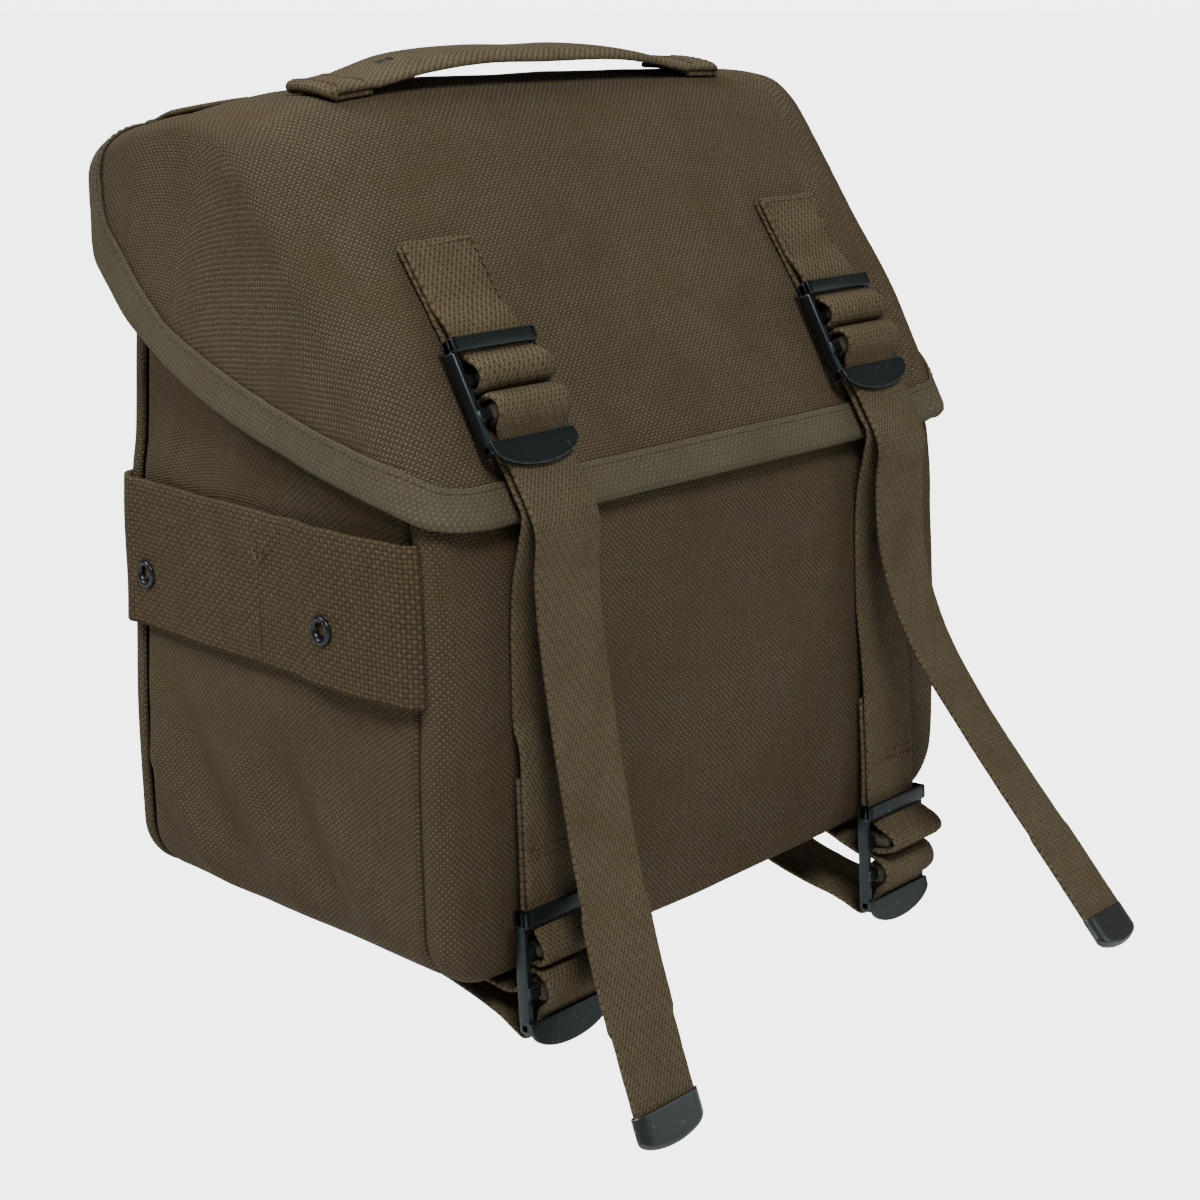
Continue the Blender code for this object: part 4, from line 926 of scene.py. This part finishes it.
def makeTip(name, line, turn, node):
    end = line[-1]
    down = (end - line[-4]).normalized()
    angle = math.radians(turn)
    across = Vector((math.cos(angle), math.sin(angle), 0.0))
    across = (across - down * across.dot(down)).normalized()
    normal = across.cross(down).normalized()
    s = tipShape

    def place(a, b):
        edge = 2.0 * a - 1.0
        edge = math.sin(edge * math.pi / 2) * 0.999
        x = edge * s["half"]
        nose = s["straight"] + s["nose"] * math.sqrt(max(1.0 - edge * edge, 0.0))
        level = s["level"] * (1.0 - abs(edge) ** 9) + 0.05
        flat = 0.42
        if b < flat:
            u, n = s["start"] + (nose - 1.0 - s["start"]) * b / flat, level
        elif b > 1.0 - flat:
            u, n = s["start"] + (nose - 1.0 - s["start"]) * (1.0 - b) / flat, -level
        else:
            bend = math.pi * (b - flat) / (1.0 - 2 * flat)
            u, n = nose - 1.0 + math.sin(bend), level * math.cos(bend)
        return end + across * x + down * u + normal * n

    bm = clothGrid(26, 40, place, lambda a, b: (a * 27.0, b * 30.0))
    finishPiece(bm, name, tipSteel, [node], wall=s["cloth"], offset=0.0)


beltLoopShape = {"x": 48.0, "width": 38.0, "thick": 2.3,
                 "line": [(201, 1.6), (194, 1.6), (190, 3), (184.5, 6.6), (176, 8.6), (165, 9.2),
                          (154, 8.6), (145.5, 6.6), (140, 3), (136, 1.6), (129.5, 1.6)]}    # z and y
tabFray = 0.9    # the flap tabs are a little wider than the straps
turnOut = {"from": 105.0, "over": 60.0, "degrees": 14.0}    # of the free end on the right
for side in (-1, 1):
    tail = words[side].lower()
    line = dressLine(tabLine(side))
    wider = [tabFray + w for w in bulge(line, upperSeats[side])]
    strapPiece("flapTab" + words[side], line, strapShape["width"], strapShape["thick"], tabWeb,
               ["flap_tab_" + tail], spread=wider, roughEdge=0.4)
    line = dressLine(closureLine(side))
    loose = max(i for i, p in enumerate(line) if p.z > 128.0)
    twist = [0.0] * len(line)
    if side > 0:
        twist[loose:] = [turnOut["degrees"] * clamp01((turnOut["from"] - p.z) / turnOut["over"])
                         for p in line[loose:]]
    wider = list(map(max, bulge(line, upperSeats[side]), bulge(line, lowerSeats[side])))
    strapPiece("closureStrap" + words[side], line, strapShape["width"], strapShape["thick"], strapWeb,
               ["closure_strap_" + tail], twist=twist, spread=wider)
    makeTip("strapTip" + words[side], line, twist[-1], "strap_tip_" + tail)
    line = dressLine(rollLine(side))
    strapPiece("rollStrap" + words[side], line, strapShape["width"], strapShape["thick"], strapWeb,
               ["roll_strap_" + tail], spread=bulge(line, lowerSeats[side]))
    line = dressLine([(side * beltLoopShape["x"], y, z) for z, y in beltLoopShape["line"]])
    strapPiece("beltLoop" + words[side], line, beltLoopShape["width"], beltLoopShape["thick"], strapWeb,
               ["belt_loop_" + tail], columns=12)
coreShape = {"left": -12.3, "right": 12.5, "low": -0.6,    # then from, to, height and rounding
             "tight": (8.4, 13.4, 6.0, 2.0), "loose": (8.0, 13.4, 9.6, 2.0),
             "second": (18.5, 26.6, 7.3, 3.0)}
loopCores = bmesh.new()    # blocks for the cloth pressed together inside the folds over the cross bars, coloured dark brown as painted shade
for seat, first in [(upperSeats[-1], "tight"), (upperSeats[1], "tight"), (lowerSeats[-1], "tight"),
                    (lowerSeats[1], "loose")]:
    before = set(loopCores.verts)
    for kind in (first, "second"):
        start, end, tall, rounding = coreShape[kind]
        addBlock(loopCores, coreShape["left"], coreShape["right"], start, end, coreShape["low"], tall,
                 rounding)
    for vert in loopCores.verts:
        if vert not in before:
            vert.co = toRow(seatPoint(seat, vert.co.y, vert.co.z, vert.co.x))
finishPiece(loopCores, "loopCores", webCoreShade)
sewing = {"pitch": 2.4, "length": 2.0, "radius": 0.42, "inset": 1.9}
seams = bmesh.new()
for side in (-1, 1):
    x0 = side * buckleShape["upperX"]
    top = upperT - 34.0
    face = 3.0 + strapShape["thick"] / 2
    half = strapShape["width"] / 2 + tabFray - sewing["inset"]
    rows = [[(x0 + half * (k / 5.0 - 1.0), top + 1.9) for k in range(11)],
            [(x0 + half * (k / 5.0 - 1.0), top + 25.0) for k in range(11)]]
    for x in (x0 - half, x0 + half):
        rows.append([(x, top + 1.9 + k * 2.1) for k in range(12)])
    for row in rows:
        stitchRow(seams, [overFlap(x, t, face) for x, t in row], [flapProfile(t)[2] for x, t in row],
                  sewing["pitch"], sewing["length"], sewing["radius"])
    down = lowerSeats[side]
    for along in (-15.5, -18.0):
        points = [seatPoint(down, along + 0.14 * k, 0.95 + strapShape["thick"] / 2, (k - 5) * half / 5.0)
                  for k in range(11)]
        stitchRow(seams, points, [down[2]] * 11, sewing["pitch"], sewing["length"], sewing["radius"])
finishPiece(seams, "strapSeams", brownThread)
print("straps made")


# Handle and shoulder tabs

handleShape = {"width": 21.0, "rise": 6.2, "arch": 67.0, "archPower": 3.6, "thick": 1.9, "centreY": -55.0,
               "side": [(68.0, 1.35), (74.0, 1.3), (79.0, 1.3), (82.8, 1.4), (84.2, 2.3), (82.9, 3.3),
                        (79.0, 3.35), (74.0, 3.35), (69.0, 3.3), (64.0, 2.5), (59.0, 2.0), (50.0, 1.9),
                        (40.0, 1.9), (28.0, 1.9), (14.0, 1.9), (0.0, 1.9)]}    # out and off the flap
handleT = next(k * 0.5 for k in range(400) if flapProfile(k * 0.5)[0].y <= handleShape["centreY"])
handlePath = [Vector((-reach, off, 0)) for reach, off in handleShape["side"]]
handlePath += [Vector((reach, off, 0)) for reach, off in handleShape["side"][-2::-1]]
handlePath = evenLine(smoothLine(handlePath, 0.5), 1.1)
handleWay = wayAlong(handlePath)[-1]


def archAt(x):
    return handleShape["rise"] * (1.0 - min(abs(x) / handleShape["arch"], 1.0) ** handleShape["archPower"])


def handlePlace(a, b):
    i = round(b * (len(handlePath) - 1))
    x, off = handlePath[i].x, handlePath[i].y
    reach = abs(x)
    across = (a - 0.5) * handleShape["width"]
    slack = ease((60.0 - reach) / 12.0) * (0.4 + 0.6 * abs(2 * a - 1))
    arch = archAt(x)
    corner = max(abs(across) - (handleShape["width"] / 2 - 3.0), 0.0) / 3.0
    if reach > 80.0:
        x -= math.copysign(2.2 * corner * corner * ease((reach - 80.0) / 4.0), x)
    arch += 0.5 * wobble(x, across, 0, 24.0, 8.2) * slack
    return flapPlace(x, handleT + across, off + arch)


def handleFlat(a, b):
    return (a - 0.5) * handleShape["width"], b * handleWay


finishPiece(clothGrid(10, len(handlePath) - 1, handlePlace, handleFlat), "handleStrap", strapWeb,
            ["handle"], wall=handleShape["thick"], offset=0.0, levels=1)

tackShape = {"start": -57.0, "count": 8, "rows": (0.6, 1.5, 2.4),
             "pitch": 3.4, "length": 3.2, "radius": 0.3}
seams = bmesh.new()    # dark tack on the left of the handle
for across in tackShape["rows"]:
    points = []
    for k in range(tackShape["count"]):
        x = tackShape["start"] + k
        points.append(flapPlace(x, handleT - across, 1.9 + archAt(x) + handleShape["thick"] / 2))
    stitchRow(seams, points, [Vector((0, 0, 1))] * len(points), tackShape["pitch"], tackShape["length"],
              tackShape["radius"])
finishPiece(seams, "handleTack", darkThread)
zigzagShape = {"reaches": (70.5, 81.0), "swing": 1.2, "count": 15, "step": 1.25,
               "pitch": 2.7, "length": 2.3, "radius": 0.3}
seams = bmesh.new()
for side in (-1, 1):
    for reach in zigzagShape["reaches"]:
        points = []
        for k in range(zigzagShape["count"]):
            x = side * (reach + zigzagShape["swing"] * (-1) ** k)
            across = (k - zigzagShape["count"] // 2) * zigzagShape["step"]
            points.append(flapPlace(x, handleT + across, 3.35 + handleShape["thick"] / 2))
        stitchRow(seams, points, [Vector((0, 0, 1))] * len(points), zigzagShape["pitch"],
                  zigzagShape["length"], zigzagShape["radius"])
finishPiece(seams, "handleSeams", brownThread)

shoulderShape = {"x": 84.0, "width": 30.0, "length": 52.0, "thick": 2.1,
                 "onFlap": (15.0, 12.0, 9.0, 6.0, 3.5),
                 "onBack": (232.0, 229.5, 226.0, 220.0, 214.0, 208.0, 200.0, 192.0)}
tabSteps = [("flap", t) for t in shoulderShape["onFlap"]] + [("back", z) for z in shoulderShape["onBack"]]
for side in (-1, 1):
    def tabPlace(a, b):
        kind, value = tabSteps[round(b * (len(tabSteps) - 1))]
        x = side * (shoulderShape["x"] + (a - 0.5) * shoulderShape["width"])
        if kind == "flap":
            return flapPlace(x, value, 1.7)
        level = value - crown(x, 0.0) * clamp01((value - 205.0) / 24.0)
        return Vector((x, 1.7 + (0.4 if 228 < value < 231 else 0.0), level))

    def tabFlat(a, b):
        return (a - 0.5) * shoulderShape["width"], b * shoulderShape["length"]

    finishPiece(clothGrid(12, len(tabSteps) - 1, tabPlace, tabFlat), "shoulderTab" + words[side], strapWeb,
                ["shoulder_tab_" + words[side].lower()], wall=shoulderShape["thick"], offset=0.0,
                levels=2)
print("handle and tabs made")


# Band round the body and its eyelets

bandShape = {"height": 44.5, "centre": 105.0, "air": 0.5, "thick": 2.2, "corner": 9.0, "bow": 2.2,
             "step": 1.6, "rows": 30, "seamY": -68.0, "frayY": -75.0, "frayHeight": 116.5}
eyeletShape = {"hole": 2.3, "cut": 2.6, "flange": 4.4, "height": 99.0, "frontY": -98.5, "rearY": -14.0,
               "low": 0.35, "plug": 2.2, "plugDepth": 0.75}


def bandLine(z, off):
    half = halfWidth(z)
    front = readTable(bag["frontFace"], z) + 5.2
    rise = (z - bag["cornerRadius"]) / (220.0 - bag["cornerRadius"])
    line = []
    for k in (0.0, 0.04, 0.08, 0.125, 0.17, 0.25, 0.33, 0.42, 0.55, 0.7, 0.86, 0.975):
        y = front + k * (-6.0 - front)
        bulge = 2.0 * math.sin(math.pi * k) * math.sin(math.pi * rise)
        bow = bandShape["bow"] * max(0.0, math.sin(math.pi * min(k / 0.42, 1.0)))
        line.append(Vector((-(half + bulge + off + bow), y, z)))
    line[0].x += 2.2
    corner = bandShape["corner"]
    for angle in (15.0, 45.0, 75.0):
        a = math.radians(angle)
        line.append(Vector((-(half - corner + 1.0) - math.cos(a) * (corner + off),
                            1.0 - corner + math.sin(a) * (corner + off), z)))
    line += [Vector((x * half, off, z)) for x in (-0.82, -0.5, -0.2)]
    return line + [Vector((-p.x, p.y, p.z)) for p in reversed(line)]


bandRows = bandShape["rows"]
bandLevels = [bandShape["centre"] + bandShape["height"] * (k / bandRows - 0.5) for k in range(bandRows + 1)]
bandTop = smoothLine(bandLine(bandShape["centre"], bandShape["air"] + bandShape["thick"]), 0.8)
bandCount = round(wayAlong(bandTop)[-1] / bandShape["step"])
bandLines = [splitLine(smoothLine(bandLine(z, bandShape["air"] + bandShape["thick"]), 0.8), bandCount)
             for z in bandLevels]


def bandSeat(side, y):    # a place on the outside of the band at the eyelets' height, and the way out
    share = (eyeletShape["height"] - bandShape["centre"]) / bandShape["height"] + 0.5
    row = bandLines[round(bandRows * share)]
    i = next(k for k in range(len(row) - 1) if row[k].y <= y <= row[k + 1].y)
    point = row[i].lerp(row[i + 1], (y - row[i].y) / (row[i + 1].y - row[i].y))
    course = row[i + 3] - row[i - 3]
    normal = Vector((-course.y, course.x, 0.0)).normalized()
    spot = Vector((-side * point.x, point.y, eyeletShape["height"]))
    return spot, Vector((-side * normal.x, normal.y, 0.0))


def bandPlace(a, b):
    point = bandLines[round(a * bandRows)][round(b * bandCount)]
    edge = 0.35 * wobble(b * bandCount * bandShape["step"], a * 3, 0, 9.0, 2.9) * abs(2 * a - 1) ** 4
    puff = 0.3 * wobble(point.x, point.y, point.z, 22.0, 1.9)
    out = Vector((point.x, 0.35 * (point.y + 70.0), 0.0)).normalized()
    return point + out * puff + Vector((0.0, 0.0, edge))


def bandFlat(a, b):
    return (a - 0.5) * bandShape["height"], b * bandCount * bandShape["step"]


band = clothGrid(bandRows, bandCount, bandPlace, bandFlat)
eyeletSpots = [(side, y, bandSeat(side, y)) for side in (-1, 1)
               for y in (eyeletShape["frontY"], eyeletShape["rearY"])]
holes = []
for face in band.faces:
    for side, y, (centre, normal) in eyeletSpots:
        away = face.calc_center_median() - toRow(centre)
        if away.length < eyeletShape["cut"] * 0.001:
            holes.append(face)
            break
bmesh.ops.delete(band, geom=holes, context="FACES")
plugs = bmesh.new()    # webbing seen through the eyelets
for side, y, (centre, normal) in eyeletSpots:
    turn = normal.to_track_quat("Z", "Y").to_matrix().to_4x4()
    middle = toRow(centre - normal * eyeletShape["plugDepth"])
    bmesh.ops.create_cone(plugs, cap_ends=True, segments=20, radius1=eyeletShape["plug"] * 0.001,
                          radius2=0.0020, depth=0.0007, matrix=Matrix.Translation(middle) @ turn)
finishPiece(plugs, "eyeletPlugs", brownThread)
finishPiece(band, "webBand", bandWeb, ["web_band"], wall=bandShape["thick"])
seams = bmesh.new()    # an upright seam on each side, and a loose thread above it
for side in (-1, 1):
    spots, outs = [], []
    for k, row in enumerate(bandLines[1:-1]):
        i = next(n for n in range(len(row) - 1) if row[n].y <= bandShape["seamY"] <= row[n + 1].y)
        spots.append(Vector((-side * row[i].x, row[i].y + 0.3 * math.sin(k), row[i].z)))
        outs.append(Vector((side, 0.0, 0.0)))
    stitchRow(seams, spots, outs, 2.6, 2.0, 0.42)
    spots, outs = [], []
    for k in range(9):
        point, normal = bandSeat(side, bandShape["frayY"] + k * 0.9)
        level = bandShape["frayHeight"] + 2.2 * math.sin(k * 0.9) + side * k * 0.25
        spots.append(Vector((point.x, point.y, level)) + normal * 0.4)
        outs.append(normal)
    stitchRow(seams, spots, outs, 1.6, 2.2, 0.3)
finishPiece(seams, "bandSeams", brownThread)
for side, y, (centre, normal) in eyeletSpots:
    bm = bmesh.new()
    s = eyeletShape
    hole, flange = s["hole"], s["flange"]
    section = [(hole + 0.1, -bandShape["thick"]), (hole, -0.4), (hole + 0.15, 0.5), (hole + 0.7, 1.15),
               (hole + 1.35, 1.3), (flange - 0.35, 0.95), (flange, s["low"])]
    profile = [bm.verts.new((radius, 0.0, height)) for radius, height in section]
    edges = [bm.edges.new(pair) for pair in zip(profile, profile[1:])]
    bmesh.ops.spin(bm, geom=profile + edges, cent=(0, 0, 0), axis=(0, 0, 1), angle=2 * math.pi, steps=40,
                   use_merge=True)
    bmesh.ops.recalc_face_normals(bm, faces=bm.faces)
    turn = normal.to_track_quat("Z", "Y").to_matrix().to_4x4()
    spot = Matrix.Translation(toRow(centre)) @ turn @ Matrix.Scale(0.001, 4)
    bmesh.ops.transform(bm, matrix=spot, verts=bm.verts)
    if sum(face.normal.dot(normal) * face.calc_area() for face in bm.faces) < 0:
        bmesh.ops.reverse_faces(bm, faces=bm.faces)
    place = ("Front" if y < -50 else "Rear") + words[side]
    finishPiece(bm, "eyelet" + place, eyeletSteel,
                ["eyelet_" + ("front_" if y < -50 else "rear_") + words[side].lower()], wall=0.35)
print("band made")


# Camera, floor and light

cameraShape = {"spot": (-0.4875, -0.5431, 0.1043), "look": (0.7048, 0.6550, -0.2723), "lens": 65.25}
cameraData = bpy.data.cameras.new("camera")
cameraData.lens = cameraShape["lens"]
cameraData.sensor_width = 36.0
camera = bpy.data.objects.new("camera", cameraData)
bpy.context.scene.collection.objects.link(camera)
camera.location = cameraShape["spot"]
camera.rotation_euler = Vector(cameraShape["look"]).to_track_quat("-Z", "Y").to_euler()
bpy.context.scene.camera = camera

backdrop = {"level": -0.34, "size": 30.0, "paper": 0.92, "seenPaper": 4.5, "light": 0.17, "seenLight": 4.6}
floorMesh = bpy.data.meshes.new("floor")
bm = bmesh.new()
bmesh.ops.create_grid(bm, x_segments=1, y_segments=1, size=backdrop["size"],
                      matrix=Matrix.Translation((0, 0, backdrop["level"])))
bm.to_mesh(floorMesh)
bm.free()
floor = bpy.data.objects.new("floor", floorMesh)
bpy.context.scene.collection.objects.link(floor)
paper = bpy.data.materials.new("paper")
paper.use_nodes = True
tree = paper.node_tree
paperShader = tree.nodes["Principled BSDF"]
paperShader.inputs["Base Color"].default_value = (*[backdrop["paper"]] * 3, 1.0)
paperShader.inputs["Roughness"].default_value = 0.9
seen = addNode(tree, "ShaderNodeLightPath").outputs["Is Camera Ray"]
glow = addNode(tree, "ShaderNodeEmission", {"Strength": backdrop["seenPaper"]})
blend = addNode(tree, "ShaderNodeMixShader", {0: seen, 1: paperShader.outputs[0], 2: glow.outputs[0]})
tree.links.new(blend.outputs[0], tree.nodes["Material Output"].inputs["Surface"])
floorMesh.materials.append(paper)

world = bpy.data.worlds.new("world")
bpy.context.scene.world = world
world.use_nodes = True
tree = world.node_tree
tree.nodes["Background"].inputs["Color"].default_value = (1.0, 1.0, 1.0, 1.0)
seen = addNode(tree, "ShaderNodeLightPath").outputs["Is Camera Ray"]
worldLight = calc(tree, "MULTIPLY_ADD", seen, backdrop["seenLight"], backdrop["light"])
tree.links.new(worldLight, tree.nodes["Background"].inputs["Strength"])

lamps = [{"name": "keyLamp", "spot": (-0.75, -1.15, 1.6), "aim": (0, -0.07, 0), "size": 0.7, "power": 32.0},
         {"name": "leftLamp", "spot": (-1.0, 0.8, 1.25), "aim": (0, -0.07, 0), "size": 0.5, "power": 19.0},
         {"name": "sideLamp", "spot": (1.2, -1.4, 0.4), "aim": (0, -0.07, 0), "size": 1.0, "power": 4.0},
         {"name": "topLamp", "spot": (0.1, 0.4, 1.6), "aim": (0, -0.07, 0), "size": 1.0, "power": 10.0}]
for lamp in lamps:
    data = bpy.data.lights.new(lamp["name"], "AREA")
    data.shape = "DISK"
    data.size = lamp["size"]
    data.energy = lamp["power"]
    light = bpy.data.objects.new(lamp["name"], data)
    light.location = lamp["spot"]
    light.rotation_euler = (Vector(lamp["aim"]) - Vector(lamp["spot"])).to_track_quat("-Z", "Y").to_euler()
    bpy.context.scene.collection.objects.link(light)
